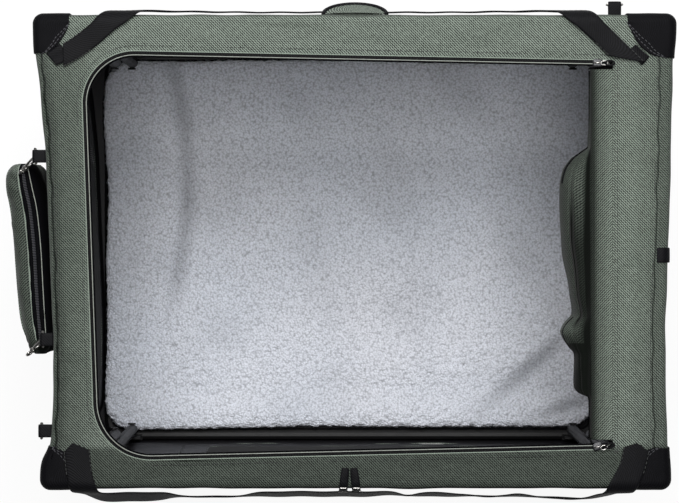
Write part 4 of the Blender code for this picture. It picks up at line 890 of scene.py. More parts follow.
def build_wall(side, opening):
    """One wall's cloth: rows run from its opening out to its four edges, or straight down where it has none."""
    reach = HALF_Y - CORNER_ROUND if side in ("left", "right") else HALF_X - CORNER_ROUND * (1 - math.pi / 2)
    flat = (2 * reach, WALL_HIGH - WALL_LOW)
    area = flat[0] * flat[1]
    if opening:
        corners = [(reach, WALL_HIGH), (-reach, WALL_HIGH), (-reach, WALL_LOW), (reach, WALL_LOW)]
        inner = opening_loop(opening, 0.0, 60, 4)
        plan = inner + (loop_points(corners, [0.2 * MM] * 4, 60, 4) - inner) * np.linspace(0, 1, 34)[:, None, None]
        area -= 2 * opening[0] * (opening[2] - opening[1])
    else:
        plan = np.stack(np.meshgrid(np.linspace(-reach, reach, 150), np.linspace(WALL_HIGH, WALL_LOW, 60)), axis=-1)
    across, z = plan[..., 0], plan[..., 1]
    to_edge = np.minimum(reach - np.abs(across), np.minimum(WALL_HIGH - z, z - WALL_LOW))
    waves = 0.55 * MM * ripples(plan, 90 * MM, 21) + 0.2 * MM * ripples(plan, 26 * MM, 22)
    points = on_wall(side, across, z, waves * eased(0, 25 * MM, to_edge) - 0.1 * MM)
    closed, flip = (False, bool(opening)), side in ("front", "right")
    cloth = grid_piece(f"{side}_wall_cloth", points, "green", closed=closed, uv=plan, flip=flip)
    thickened(cloth, CLOTH, "lining")
    squashed(placed(cloth, "base", "green_polyester", f"{side}_wall"))


def round_cut(over, radius):
    """How far a round corner cuts into a thread that lies some way over its straight part."""
    return radius - np.sqrt(radius**2 - np.clip(over, 0, radius) ** 2)


def net_piece(name, side, opening):
    """Netting as two crossed rows of threads, each a three-sided strand cut to the opening's round outline."""
    half, sill, head, radius = opening
    turn = np.array([0.0, 2.1, 4.2])
    pieces = []
    for upright in (True, False):
        at = np.arange((-half if upright else sill) + NET_PITCH / 2, half if upright else head, NET_PITCH)
        if upright:
            low = sill + round_cut(np.abs(at) - half + radius / 2, radius / 2)
            high = head - round_cut(np.abs(at) - half + radius, radius)
        else:
            cut = np.maximum(round_cut(sill + radius / 2 - at, radius / 2), round_cut(at - head + radius, radius))
            high = half - cut
            low = -high
        run = (low[:, None] + (high - low)[:, None] * np.linspace(0, 1, 9))[..., None]
        across, z = at[:, None, None] + NET_STRAND * np.cos(turn), run
        if not upright:
            across, z = z, across
        deep = NET_STRAND * np.sin(turn) + (NET_APART if upright else -NET_APART)
        points = on_wall(side, across, z, deep - NET_INSIDE)
        count, steps = points.shape[:2]
        r, s, k = np.meshgrid(np.arange(count), np.arange(steps - 1), np.arange(3), indexing="ij")
        base, after = (r * steps + s) * 3, (k + 1) % 3
        quads = np.stack([base + k, base + after, base + 3 + after, base + 3 + k], axis=-1).reshape(-1, 4)
        pieces.append(mesh_piece(name, points, quads, "netting"))
    return joined(name, pieces)


def wall_trim(name, side, loop, width, thick, out, material, closed=True):
    """A band or tape laid along a line on a wall."""
    points = on_wall(side, loop[:, 0], loop[:, 1], out)
    up = np.array(WALL_OUT[side])
    across = unit(np.cross(up, headings(points, closed)))
    return band(name, points, across, up, width, thick, material, closed)


def binding(name, side, opening):
    """The black binding round a netting panel."""
    return wall_trim(name, side, opening_loop(opening, 2 * MM), 11 * MM, 1.0 * MM, 0.6 * MM, "black_cloth")


def build_walls():
    """Four walls with their netting windows and bindings."""
    for side in ("left", "right"):
        build_wall(side, END_WINDOW)
        net = net_piece(f"{side}_netting", side, END_WINDOW)
        squashed(placed(net, "base", "black_netting", f"{side}_window"))
        squashed(placed(binding(f"{side}_window_binding", side, END_WINDOW), "base", "black_webbing"))
    build_wall("front", FRONT_DOOR)
    build_wall("back", None)


def build_front_door():
    """The front door: a green border round a netting panel, its zip, and the two sliders at its head."""
    half, sill, head, radius = FRONT_DOOR
    pane = (half - 30 * MM, sill + 30 * MM, head - 34 * MM, radius - 22 * MM)
    inner = opening_loop(pane)
    plan = inner + (opening_loop(FRONT_DOOR, -0.6 * MM) - inner) * np.linspace(0, 1, 14)[:, None, None]
    points = on_wall("front", plan[..., 0], plan[..., 1], -0.3 * MM + 0.3 * MM * ripples(plan, 40 * MM, 31))
    border = grid_piece("front_door_border", points, "green", closed=(False, True), uv=plan, flip=True)
    thickened(border, CLOTH, "lining")
    squashed(placed(border, "front_door", "green_polyester", "front_door"))
    # Its pane leaves less cloth than a sheet may name, so the area named is that least share
    squashed(placed(net_piece("front_door_netting", "front", pane), "front_door", "black_netting"))
    squashed(placed(binding("front_door_binding", "front", pane), "front_door", "black_webbing"))
    loop = opening_loop(FRONT_DOOR, 3.5 * MM, skip_sill=True)
    tape = wall_trim("front_zip_tape", "front", loop, 6.5 * MM, 0.8 * MM, 0.45 * MM, "zip_tape", closed=False)
    squashed(placed(tape, "base", "black_zip"))
    loop = opening_loop(FRONT_DOOR, 1.2 * MM, skip_sill=True)
    path = resampled(on_wall("front", loop[:, 0], loop[:, 1], 0.7 * MM), 1.8 * MM)
    coil = zip_teeth("front_zip_coil", path, np.array(WALL_OUT["front"]), (2.8, 1.05, 0.7), "coil")
    squashed(placed(coil, "base", "black_zip"))
    for name, lean in (("left", 2.2 * MM), ("right", -2.6 * MM)):
        build_front_slider(name, lean)


def build_front_slider(name, lean):
    """A slider at the front door's head whose webbing pull lies up over the rim, leaning to one side."""
    low, high = box_of(f"front_slider_{name}")
    x = (low[0] + high[0]) / 2
    base = np.array([x, -HALF_Y - 0.3 * MM, low[2] + 5 * MM])
    plates = cheeks(base, UP, np.array([1.0, 0, 0]), np.array([0, -1.0, 0]), "nickel")
    # Shares of the lean, places across the rim and lifts off it, in mm
    lay = [(0, 16, 2.2), (0, 9, 1.9), (0.1, 2, 1.6), (0.4, -6, 1.7), (0.8, -13, 2.0), (1, -19, 1.7)]
    leaning, across, lift = curve_through(np.array(lay) * [lean, MM, MM], 8).T
    path = over_rim(-1, x + leaning, across, lift)
    ahead = headings(path)
    side = unit(np.cross(ahead, np.array([0.0, -1.0, 1.0])))
    wide = 8.4 * MM * (0.72 + 0.28 * np.sin(np.linspace(0.2, math.pi - 0.35, len(path))))
    pull = band("pull", path, side, np.cross(side, ahead), wide, 1.9 * MM, "webbing", crown=0.4 * MM)
    bars = [
        tube("bar", over_rim(-1, x + np.linspace(-half, half, 9), place, off), radius, "nickel")
        for half, place, off, radius in np.array([(4.6, 13.5, 3.6, 0.8), (3.4, -1.0, 3.2, 0.7)]) * MM
    ]
    slider = joined(f"front_slider_and_pull_{name}", [*plates, pull, *bars])
    placed(slider, f"front_slider_{name}", "nickel_plate", f"front_slider_{name}")


FLOOR_ROUND = 3 * MM


def build_floor():
    """The cover's floor and its turned-up skirt: rows run from the middle out, round the lower edge and up."""
    steps = (60, 10)
    flat = at_height(cover_loop(-FLOOR_ROUND, *steps) * np.linspace(0.0, 1, 26)[:, None, None], 0.1 * MM)
    over = [
        at_height(cover_loop(FLOOR_ROUND * (math.sin(a) - 1), *steps), 0.1 * MM + FLOOR_ROUND * (1 - math.cos(a)))
        for a in np.linspace(0, math.pi / 2, 7)[1:]
    ]
    rise = [at_height(cover_loop(0.0, *steps), z) for z in np.linspace(3.1 * MM, FLOOR_SKIRT, 9)[1:]]
    points = np.concatenate([flat, over, rise])
    uv = points[..., :2] + unit(points[..., :2]) * points[..., 2:]
    floor = sealed(grid_piece("floor_cloth", points, "green", closed=(False, True), uv=uv), whole=False)
    thickened(floor, CLOTH, "lining")
    placed(floor, "base", "green_polyester", "floor_panel")
    rows = []
    for z in (FLOOR_SKIRT - 4 * MM, FLOOR_SKIRT - 8 * MM):
        loop = at_height(cover_loop(0.1 * MM, *steps), z)
        out = np.cross(headings(loop, True), UP)
        rows.append(stitches(f"skirt_{z:.3f}", loop, "pale_thread", out, closed=True))
    placed(joined("floor_stitches", rows), "base", "green_polyester")


# ---------------------------------------------------------------- patches, straps and tabs


PATCH_DEPTH = 42 * MM
FOOT_HEIGHT = 52 * MM
PATCH_STEPS = 64
PATCH_CORNERS = {"left_front": (-1, -1), "right_front": (1, -1), "right_back": (1, 1), "left_back": (-1, 1)}
# Each patch's inner edge in mm, flipped to the back right: from the long rim to the end rim
PATCH_EDGES = {
    (-1, -1): [(264.4, 220.5), (265.5, 212), (268.5, 203), (274.5, 195.5), (283, 190.5), (292, 188.2), (299, 187.6)],
    (1, -1): [(266, 220.5), (267, 212), (269.5, 203.5), (274, 196.5), (280, 191), (288, 188.4), (299, 188.6)],
    (1, 1): [(261.3, 220.5), (264.4, 214.5), (268.4, 206.2), (273.4, 198), (279.5, 192.6), (287, 188.6), (299, 186.3)],
    (-1, 1): [(274.6, 220.5), (276.2, 214.5), (280, 206.8), (284.6, 200.3), (291, 194.8), (296, 191.6), (300, 190.6)],
}


def quarter_outline(corner, offset):
    """The cover's outline round one corner, flipped to the back right: from the patch's end on the long side."""
    a, b = PATCH_EDGES[corner][0][0] * MM, PATCH_EDGES[corner][-1][1] * MM
    loop = cover_loop(offset, 400, 60) * np.array(corner)
    path = loop[(loop[:, 0] > a) & (loop[:, 1] > b)]
    path = path[np.argsort(np.arctan2(path[:, 1] - b, path[:, 0] - a))[::-1]]
    run = run_of(path)
    return read_at(np.linspace(0, run[-1], PATCH_STEPS), run, path)


def patch_points(corner, out):
    """A top corner patch flipped to the back right: rows run from its inner edge over the rim and down the corner.

    The inner edge is a smooth curve that bulges towards the crate's middle.
    """
    places = np.array(PATCH_EDGES[corner]) * MM
    places[0, 1] = HALF_Y - RIM_ROUND
    places[-1, 0] = float(end_reach(corner[0], corner[1] * places[-1, 1])) - RIM_ROUND
    edge = resampled(curve_through(places, 10), 0.5 * MM)
    inner = read_at(np.linspace(0, 1, PATCH_STEPS), np.linspace(0, 1, len(edge)), edge)
    share = np.linspace(0, 1, 26)[:, None, None]
    flat = at_height(inner + (quarter_outline(corner, -RIM_ROUND) - inner) * share, HEIGHT + out)
    radius = RIM_ROUND + out
    over = [
        at_height(quarter_outline(corner, radius * math.sin(t) - RIM_ROUND), HEIGHT - RIM_ROUND + radius * math.cos(t))
        for t in np.linspace(0, math.pi / 2, 9)[1:]
    ]
    falls = np.linspace(HEIGHT - RIM_ROUND, HEIGHT - PATCH_DEPTH, 16)[1:]
    return np.concatenate([flat, over, [at_height(quarter_outline(corner, out), z) for z in falls]])


def build_patches():
    """Corner patches over the top's corners, each double stitched, and round the foot of the upright corners."""
    for name, corner in PATCH_CORNERS.items():
        mirror = np.array([*corner, 1.0])
        flip = corner[0] * corner[1] < 0
        seed = 40 + 2 * corner[0] + corner[1]
        points = patch_points(corner, 0.45 * MM)
        height = 0.25 * MM * (1 + ripples(points, 24 * MM, seed))
        points = points + np.array([0.3, 0.3, 0.6]) * height[..., None]
        patch = thickened(grid_piece(f"{name}_patch", points * mirror, "black_cloth", flip=flip), 1.0 * MM, offset=1.0)
        placed(patch, "top", "black_polyester", f"{name}_top_patch")
        above = patch_points(corner, 1.75 * MM) * mirror
        rows = [stitches(f"{name}_row_{row}", above[row], "patch_thread") for row in (3, 6)]
        placed(joined(f"{name}_patch_stitches", rows), "top", "black_polyester")
        outline = quarter_outline(corner, 0.4 * MM)
        foot = np.array([at_height(outline, z) for z in np.linspace(FOOT_HEIGHT, 1.0 * MM, 20)])
        foot += 0.15 * MM * ripples(foot, 20 * MM, seed + 9)[..., None] * np.array([1, 1, 0])
        low = thickened(grid_piece(f"{name}_foot", foot * mirror, "black_cloth", flip=flip), 1.0 * MM, offset=1.0)
        placed(low, "base", "black_polyester", f"{name}_foot_patch")


STRAP_WIDTH = 25 * MM
STRAP_THICK = 1.7 * MM
STRAP_LIFT = 2.2 * MM
STRAP_ACROSS = 50 * MM
STRAP_OUT = 10 * MM
# How far the strap's path is carried on past its ends, and over how much of it an end's outline fades
STRAP_SPARE = 10 * MM
STRAP_FADE = 45 * MM
# Places along half the length, places across the rim (negative on top), lifts off it and tilts, each a share
STRAP_SHARES = {
    "front": [
        (-0.872, -0.84, 0, 0), (-0.868, -0.54, 0, 0), (-0.862, -0.24, 0.02, 0), (-0.850, 0.02, 0.06, 0),
        (-0.828, 0.24, 0.10, 0.12), (-0.785, 0.38, 0.12, 0.42), (-0.705, 0.46, 0.12, 0.46), (-0.611, 0.50, 0.14, 0.40),
        (-0.548, 0.54, 0.50, 0.14), (-0.44, 0.56, 0.64, 0.08), (-0.36, 0.56, 0.50, 0.12), (-0.29, 0.55, 0.14, 0.28),
        (-0.172, 0.52, 0.06, 0.30), (-0.08, 0.50, 0.06, 0.30), (0.03, 0.50, 0.06, 0.30), (0.11, 0.53, 0.10, 0.24),
        (0.163, 0.56, 0.46, 0.10), (0.215, 0.56, 0.22, 0.24), (0.276, 0.56, 0.18, 0.26), (0.335, 0.57, 0.36, 0.18),
        (0.407, 0.58, 0.60, 0.08), (0.47, 0.58, 0.48, 0.14), (0.52, 0.58, 0.36, 0.20), (0.585, 0.58, 0.62, 0.10),
        (0.67, 0.56, 0.84, 0.05), (0.735, 0.48, 0.66, 0.12), (0.78, 0.36, 0.34, 0.12), (0.814, 0.18, 0.16, 0),
        (0.842, -0.08, 0.05, 0), (0.864, -0.34, 0, 0), (0.876, -0.60, 0, 0), (0.882, -0.84, 0, 0),
    ],
    "back": [
        (-0.921, -0.784, 0, 0), (-0.877, -0.634, 0, 0), (-0.824, -0.396, 0, 0), (-0.768, -0.10, 0.04, 0),
        (-0.703, 0.16, 0.08, 0), (-0.62, 0.46, 0.12, 0.04), (-0.48, 0.86, 0.20, 0.06), (-0.30, 1.18, 0.25, 0.08),
        (-0.10, 1.34, 0.30, 0.10), (0.10, 1.34, 0.30, 0.10), (0.30, 1.16, 0.25, 0.08), (0.46, 0.82, 0.20, 0.06),
        (0.575, 0.48, 0.12, 0.04), (0.648, 0.22, 0.08, 0), (0.708, -0.02, 0.04, 0), (0.760, -0.29, 0, 0),
        (0.812, -0.60, 0, 0), (0.875, -0.98, 0, 0),
    ],
}
# How wide each strap looks, as a share of its webbing: the back one is cupped where it lies slack
STRAP_CUPPED = {"front": 1.0, "back": 0.8}
# How far each strap's left and right end runs past its sewn line, in mm, at shares of its width from its inner edge
STRAP_ENDS = {
    "front": (((-1, -6.7), (0.32, 1.4), (1, -6.7)), ((-1, -4.8), (0.10, 1.4), (1, -6.7))),
    "back": (((-1, 2.4), (1, -7.7)), ((-1, -25.0), (1, 4.7))),
}
# The back strap's turned-under ends, on the top: corners in mm from the fold round to the patch
STRAP_FOLDS = {
    "left": [(-286.8, 179.0), (-272.0, 185.0), (-284.2, 200.3), (-297.1, 190.2)],
    "right": [(262.5, 193.0), (275.7, 179.1), (286.6, 190.8), (273.6, 202.8)],
}


def strap_points(name, side):
    """A carry strap laid over the rim: each row is one section across the webbing, upper face then lower.

    Near an end each point slides along the strap by its share of the end's outline.
    """
    path = curve_through(np.array(STRAP_SHARES[name]) * np.array([HALF_X, STRAP_ACROSS, STRAP_OUT, 1.0]), 16)
    run = run_of(path[:, :2])
    ahead = unit(np.gradient(path[:, :2], axis=0))
    table = np.concatenate([path, ahead], axis=1)
    spare = np.concatenate([ahead, np.zeros_like(path)], axis=1) * STRAP_SPARE
    table = np.concatenate([table[:1] - spare[:1], table, table[-1:] + spare[-1:]])
    stations = np.concatenate([[-STRAP_SPARE], run, [run[-1] + STRAP_SPARE]])
    spread, level = oblong(np.array([-1, -0.95, -0.8, -0.55, -0.3, 0, 0.3, 0.55, 0.8, 0.95, 1]))
    flat = spread * STRAP_WIDTH * STRAP_CUPPED[name] / 2
    left, right = (np.interp(spread, *np.array(end).T) * MM for end in STRAP_ENDS[name])
    at = run[:, None] - left * eased(STRAP_FADE, 0, run)[:, None]
    at = at + right * eased(run[-1] - STRAP_FADE, run[-1], run)[:, None]
    along, across, lift, tilt, head_along, head_across = (np.interp(at, stations, column) for column in table.T)
    lift = lift + tilt * (flat + STRAP_WIDTH / 2) + (level + 1) * STRAP_THICK / 2 + 0.25 * MM * np.sin(along * 150)
    return over_rim(side, along - head_across * flat, across + head_along * flat, STRAP_LIFT + lift)


def build_straps():
    """Front and back carry straps with their sewn ends, and the turned-under ends of the back one."""
    for name, side in (("front", -1), ("back", 1)):
        points = strap_points(name, side)
        strap = sealed(grid_piece(f"{name}_strap", poles(points), "webbing", closed=(False, True)))
        placed(strap, f"{name}_strap", "black_webbing", f"{name}_carry_strap")
        rows = [
            stitches(f"{name}_{end}_{column}", points[rows, column] + UP * 0.2 * MM)
            for end, rows in (("left", slice(2, 26)), ("right", slice(-26, -2)))
            for column in (1, 9)
        ]
        placed(joined(f"{name}_strap_stitches", rows), f"{name}_strap", "black_webbing")
    s, t = np.linspace(0, 1, 10)[:, None, None], np.linspace(0, 1, 12)[None, :, None]
    for end, corners in STRAP_FOLDS.items():
        a, b, c, d = np.array(corners) * MM
        plan = (a * (1 - t) + b * t) * (1 - s) + (d * (1 - t) + c * t) * s
        rise = 1.9 * MM - 2.2 * MM * eased(0.25, 0.8, s[..., 0])
        fold = grid_piece(f"back_strap_{end}_fold", at_height(plan, HEIGHT + rise), "webbing", flip=end == "left")
        placed(thickened(fold, 1.2 * MM), "top", "black_webbing")


def build_grab_tab():
    """The half-round grab tab on the back rim: green cloth with a black bound edge."""
    low, high = box_of("rear_grab_tab")
    width, reach = (high[0] - low[0]) / 2, 24 * MM
    droop = math.radians(60)
    root = np.array([0.0, low[1] + 0.2 * MM, high[2] - 1.4 * MM])
    aside = np.array([1.0, 0.0, 0.0])
    out = np.array([0.0, math.cos(droop), -math.sin(droop)])
    up = np.array([0.0, math.sin(droop), math.cos(droop)])
    share = np.linspace(0.02, 1, 20)[:, None, None]
    turn = np.linspace(0, math.pi, 48)[None, :, None]
    plan = root + aside * width * 0.93 * share * np.cos(turn) + out * (reach - 1.5 * MM) * share * np.sin(turn)
    puff = up * 1.7 * MM * (1 - share**3)
    face = sealed(grid_piece("grab_face", np.concatenate([plan + puff, (plan - puff)[::-1]]), "green"))
    turn = turn[0]
    edge = root + aside * width * 0.95 * np.cos(turn) + out * (reach - 1.6 * MM) * np.sin(turn)
    bind = tube("grab_binding", edge, 2.1 * MM, "webbing", 10, up=up)
    placed(joined("grab_tab", [face, bind]), "top", "green_polyester", "rear_grab_tab")


TAB_LENGTH = 10.2 * MM
TAB_EYE = 2.4 * MM


def build_tab(node, out):
    """A folded webbing tab that comes out of the rim, goes round a ring's bar and back under itself."""
    low, high = box_of(node)
    out = np.array(out, float)
    root = (low + high) / 2 - out * ((high - low) @ np.abs(out) / 2 + 0.2 * MM)
    over = [(0.0, 1.6 * MM), (0.35 * TAB_LENGTH, 1.9 * MM), (0.7 * TAB_LENGTH, 2.3 * MM)]
    turn = np.linspace(math.pi / 2, -math.pi / 2, 15)
    nose = [(TAB_LENGTH + TAB_EYE * math.cos(a), TAB_EYE * math.sin(a)) for a in turn]
    shape = curve_through(over + nose + [(far, -height) for far, height in over[::-1]], 3)
    path = root + shape[:, :1] * out + shape[:, 1:] * UP
    across = np.cross(UP, out)
    tab = band(f"{node}_webbing", path, across, np.cross(headings(path), across), 12.4 * MM, 1.3 * MM, "webbing")
    placed(tab, "top", "black_webbing", node)


def build_tabs():
    """Webbing tabs on the rim, and the folded loop on the right end."""
    for node in ("pouch_back_tab", "pouch_front_tab", "left_front_tab"):
        build_tab(node, WALL_OUT["left"])
    build_tab("back_right_tab", WALL_OUT["back"])
    low, high = box_of("right_side_loop")
    y = (low[1] + high[1]) / 2
    share = np.linspace(0, 1, 30)
    turn = np.clip((share - 0.3) / 0.35, 0, 1) * math.pi / 2
    radius = RIM_ROUND + 0.9 * MM
    x = float(end_reach(1, y)) - RIM_ROUND + radius * np.sin(turn) - np.clip(0.3 - share, 0, 1) * 14 * MM
    z = HEIGHT - RIM_ROUND + radius * np.cos(turn) - np.clip(share - 0.65, 0, 1) * 28 * MM
    path = np.stack([x, np.full_like(x, y), z], axis=1)
    side = np.array([0.0, 1.0, 0.0])
    loop = band("right_end_loop", path, side, np.cross(side, headings(path)), 14.5 * MM, 1.3 * MM, "webbing")
    placed(loop, "top", "black_webbing", "right_side_loop")


# ---------------------------------------------------------------- pouch


POUCH_THICK = 39 * MM
# How much its section is squared off: |x/a|^p + |z/b|^p = 1
POUCH_SQUARE = 3.4
# Along the pouch from front to back: place, thickness, stand-off from the crate's end and height, each a share
POUCH_SHARES = [
    (0.000, 0.24, 0.30, 0.84), (0.030, 0.50, 0.16, 0.94), (0.090, 0.76, 0.04, 0.98), (0.170, 0.91, 0.00, 1.00),
    (0.320, 0.97, 0.00, 1.00), (0.500, 1.00, 0.00, 1.00), (0.650, 1.02, 0.03, 1.00), (0.780, 1.02, 0.09, 1.00),
    (0.880, 0.97, 0.20, 0.99), (0.945, 0.85, 0.30, 0.96), (0.985, 0.60, 0.42, 0.92), (1.000, 0.30, 0.52, 0.82),
]
# Shares of the half thickness at which the gusset's columns lie
GUSSET_SHARES = (-0.16, -0.1, 0.02, 0.16, 0.3, 0.44, 0.58, 0.7, 0.8, 0.88, 0.94, 0.98)


def build_pouch():
    """The zip pouch: a lofted, slightly slack bag with a zip along its top, and its two snap hooks."""
    low, high = box_of("pouch")
    length = high[1] - low[1]
    place, thick, stand_off, tall = curve_through(POUCH_SHARES, 10).T
    y = low[1] + length * np.clip(place, 0, 1)
    half_x = POUCH_THICK * np.clip(thick, 0.1, 1) / 2
    centre_x = -(end_reach(-1, y) + 0.9 * MM + 34 * MM * np.clip(stand_off, 0, 1)) - half_x
    half_z = (high[2] - low[2]) / 2 * np.clip(tall, 0, 1)
    centre_z = (high[2] + low[2]) / 2
    turn = np.linspace(0, 2 * math.pi, 96, endpoint=False)
    cx, cz = (squared(wave(turn), 2 / POUCH_SQUARE) for wave in (np.cos, np.sin))
    x = centre_x[:, None] + half_x[:, None] * cx
    points = np.stack(np.broadcast_arrays(x, y[:, None], centre_z + half_z[:, None] * cz), axis=-1)
    slack = 1.1 * MM * ripples(points, 38 * MM, 51) + 0.5 * MM * ripples(points, 14 * MM, 52)
    slack *= 0.5 + 1.1 * (bell(place, 1.0, 0.14) + 0.6 * bell(place, 0.0, 0.1))[:, None]
    # The cloth keeps off the crate's end
    slack *= np.clip(-(x + end_reach(-1, y)[:, None] + 0.6 * MM), 0, 4 * MM) / (4 * MM)
    points = points + unit(np.stack([cx, 0 * cx, cz], axis=-1)) * slack[..., None]
    # Painted shade: the pouch's cloth is darkened all over, more on its side towards the crate and at its front end,
    # with a painted highlight at its back end
    ends = 0.3 * bell(place, 0.03, 0.06) - 0.4 * bell(place, 0.985, 0.03)
    shade = 0.6 + 0.35 * eased(-0.2, 0.3, cx) + ends[:, None]
    shade = np.concatenate([shade[:1], shade, shade[-1:]])
    body = sealed(grid_piece("pouch_cloth", poles(points), "green", closed=(False, True), shade=shade))
    placed(body, "pouch", "green_polyester", "pouch")

    def on_top(offset, lift, trim=5):
        """A line along the pouch's top at a share of its half thickness."""
        edge = (1 - np.abs(offset) ** POUCH_SQUARE) ** (1 / POUCH_SQUARE)
        return np.stack([centre_x + half_x * offset, y, centre_z + half_z * edge + lift], axis=1)[trim:-trim]

    # The zip's black gusset covers the top from the piping to the crate's side, and folds down on that side
    gusset = np.stack([on_top(offset, 0.75 * MM, 4) for offset in GUSSET_SHARES], axis=1)
    gusset[..., 2] += 0.35 * MM * ripples(gusset, 24 * MM, 53)
    cover = thickened(grid_piece("pouch_gusset", gusset, "zip_tape", flip=True), 0.9 * MM)
    placed(cover, "pouch", "black_zip")
    teeth_path = resampled(on_top(0.14, 2.0 * MM, 8), 1.6 * MM)
    trim = [
        # The green piping is a painted highlight along the cloth's edge
        tube("pouch_piping", on_top(-0.17, 0.9 * MM), 0.8 * MM, "green_painted_highlight"),
        tube("pouch_seam", on_top(0.47, 2.1 * MM, 9), 0.42 * MM, "grey_edge"),
        tube("pouch_binding", on_top(-0.93, 0.2 * MM), 1.0 * MM, "green"),
        zip_teeth("pouch_coil", teeth_path, UP, (3.2, 1.0, 0.9), "grey_coil"),
    ]
    placed(joined("pouch_zip", trim), "pouch", "black_zip")
    for name in ("back", "front"):
        build_snap_hook(name)


HOOK_AHEAD = (-0.68, -0.66, -0.20)
HOOK_LENGTH = 28 * MM
HOOK_WIDE = 5 * MM


def build_snap_hook(name):
    """A spring hook: a bent hook body, its gate, and the swivel eye that is sewn to the pouch."""
    low, high = box_of(f"pouch_{name}_ring")
    ahead = unit(np.array(HOOK_AHEAD))
    across = unit(np.cross(ahead, [0.0, 1.0, 0.0]))
    normal = np.cross(ahead, across)
    begin = np.array([*(low + high)[:2] / 2, low[2] + 1.2 * MM]) - ahead * 3.6 * MM
    angle = 2 * math.pi * np.linspace(0, 1, 60)[:-1, None]
    reach = (1 - squared(np.cos(angle), 0.8)) / 2 * (HOOK_LENGTH - 9 * MM)
    hook = begin + ahead * reach + across * np.sin(angle) * HOOK_WIDE
    gate = begin + ahead * np.linspace(5, 14, 9)[:, None] * MM + across * (HOOK_WIDE - 1.2 * MM)
    turn = np.linspace(0, 2 * math.pi, 24, endpoint=False)[:, None]
    eye = begin + ahead * (HOOK_LENGTH - 3.4 * MM + np.cos(turn) * 3.0 * MM) + across * np.sin(turn) * 4.2 * MM
    collar_at = begin + ahead * (HOOK_LENGTH - 8 * MM)
    pieces = [
        tube("hook", hook, 1.15 * MM, "nickel", 10, closed=True, up=normal),
        tube("gate", gate, 0.9 * MM, "nickel", up=normal),
        block("collar", collar_at, ahead, across, normal, [5 * MM] * 3, "nickel", 3),
        tube("swivel", eye, 1.0 * MM, "nickel", closed=True, up=normal),
    ]
    placed(joined(f"snap_hook_{name}", pieces), "pouch", "nickel_plate", f"pouch_hook_{name}")


# ---------------------------------------------------------------- mat


MAT_ROUND = 34 * MM


def mat_plan(half_x, half_y):
    """The mat's plan: a square mapped to a round-cornered oblong, and each point's way in from its edge."""
    columns = sizes().mat_columns
    rows = int(columns * half_y / half_x)
    closer = math.pi / 2 * 0.97
    spread = np.linspace(-1, 1, columns) * 0.75 + np.sin(np.linspace(-1, 1, columns) * closer) / math.sin(closer) * 0.25
    a, b = np.meshgrid(spread, np.interp(np.linspace(0, 1, rows), np.linspace(0, 1, columns), spread))
    x, y = a * half_x, b * half_y
    ring = np.minimum(half_x - np.abs(x), half_y - np.abs(y))
    dx, dy = (np.clip(np.abs(v) - half + MAT_ROUND, 0, MAT_ROUND) for v, half in ((x, half_x), (y, half_y)))
    shrink = np.maximum(dx, dy) / np.maximum(np.hypot(dx, dy), 1e-9)
    corner = (dx > 0) & (dy > 0)
    x = np.where(corner, np.sign(x) * (half_x - MAT_ROUND + dx * shrink), x)
    y = np.where(corner, np.sign(y) * (half_y - MAT_ROUND + dy * shrink), y)
    return np.stack([x, y], axis=-1), ring


def build_mat():
    """The fleece mat: a slack pad whose edge rides up over the base tubes, covered in curls of pile.

    Its top and its underside share one plan and meet in a round lip.
    """
    low, high = box_of("fleece_mat")
    plan, ring = mat_plan(*(high - low)[:2] / 2)
    wobble = 1 + 0.006 * ripples(unit(plan), 0.7, 61) * eased(60 * MM, 0, ring)
    x, y = (plan[..., k] * wobble - 0.6 * MM * np.sign(plan[..., k]) for k in (0, 1))
    risen = eased(0.0, 1.0, 1 - np.clip((ring - 14 * MM) / (34 * MM), 0, 1))
    floor = low[2] + 0.4 * MM + 15.4 * MM * risen
    crown = 13.5 * MM - 4.5 * MM * risen + 1.6 * MM * ripples(plan, 120 * MM, 62) * eased(10 * MM, 60 * MM, ring)
    # Long soft folds near the left end and slanting ones at the front right
    fold = bell(x, -0.262 + 0.03 * np.sin(y * 7), 13 * MM) * eased(-0.12, 0.05, y)
    crown += 3.0 * MM * fold * eased(4 * MM, 30 * MM, ring)
    crown -= 2.6 * MM * bell(x, -0.232 + 0.03 * np.sin(y * 8 + 1), 12 * MM) * eased(-0.15, 0.0, y)
    valleys = bell(y - 0.83 * (x - 0.207) + 0.144, 0, 12 * MM) * bell(x, 0.21, 48 * MM)
    valleys += bell(y - 0.33 * (x - 0.24) + 0.192, 0, 8 * MM) * bell(x, 0.25, 40 * MM)
    crown -= 3.6 * MM * valleys * eased(4 * MM, 24 * MM, ring)
    # Painted shade darkens the pile in the hollows of those folds, with a faint uneven tone all over
    shade = 0.36 * bell(x, -0.222 + 0.03 * np.sin(y * 8 + 1), 11 * MM) * eased(-0.13, 0.0, y)
    shade = np.clip(shade + 0.5 * valleys + 0.05 * ripples(plan, 90 * MM, 64), 0, 1)
    lip = np.sqrt(np.clip(1 - (1 - np.clip(ring / (9 * MM), 0, 1)) ** 2, 0, 1))
    curls = np.random.default_rng(63).normal(size=x.shape)
    curls = (curls + np.roll(curls, 1, 0) + np.roll(curls, -1, 0) + np.roll(curls, 1, 1) + np.roll(curls, -1, 1)) / 5
    curls = curls / curls.std()
    pile = sizes().pile_height * curls * eased(0, 3 * MM, ring + 1 * MM)
    top = floor + crown * lip + pile * (0.35 + 0.65 * lip)
    # The edge is frayed by the curls that stand out of it
    plan = np.stack([x, y], axis=-1)
    plan = plan + (low + high)[:2] / 2 + unit(plan) * (0.5 * MM * curls * eased(5 * MM, 0, ring))[..., None]
    upper = grid_piece("mat_top", at_height(plan, top), "fleece", shade=shade)
    under = at_height(plan, np.where(ring < 1e-9, top, floor))
    under = grid_piece("mat_under", under, "fleece", flip=True, shade=0 * shade)
    placed(sealed(joined("mat", [upper, under])), "base", "grey_fleece", "fleece_mat")


# ---------------------------------------------------------------- carried-over metal


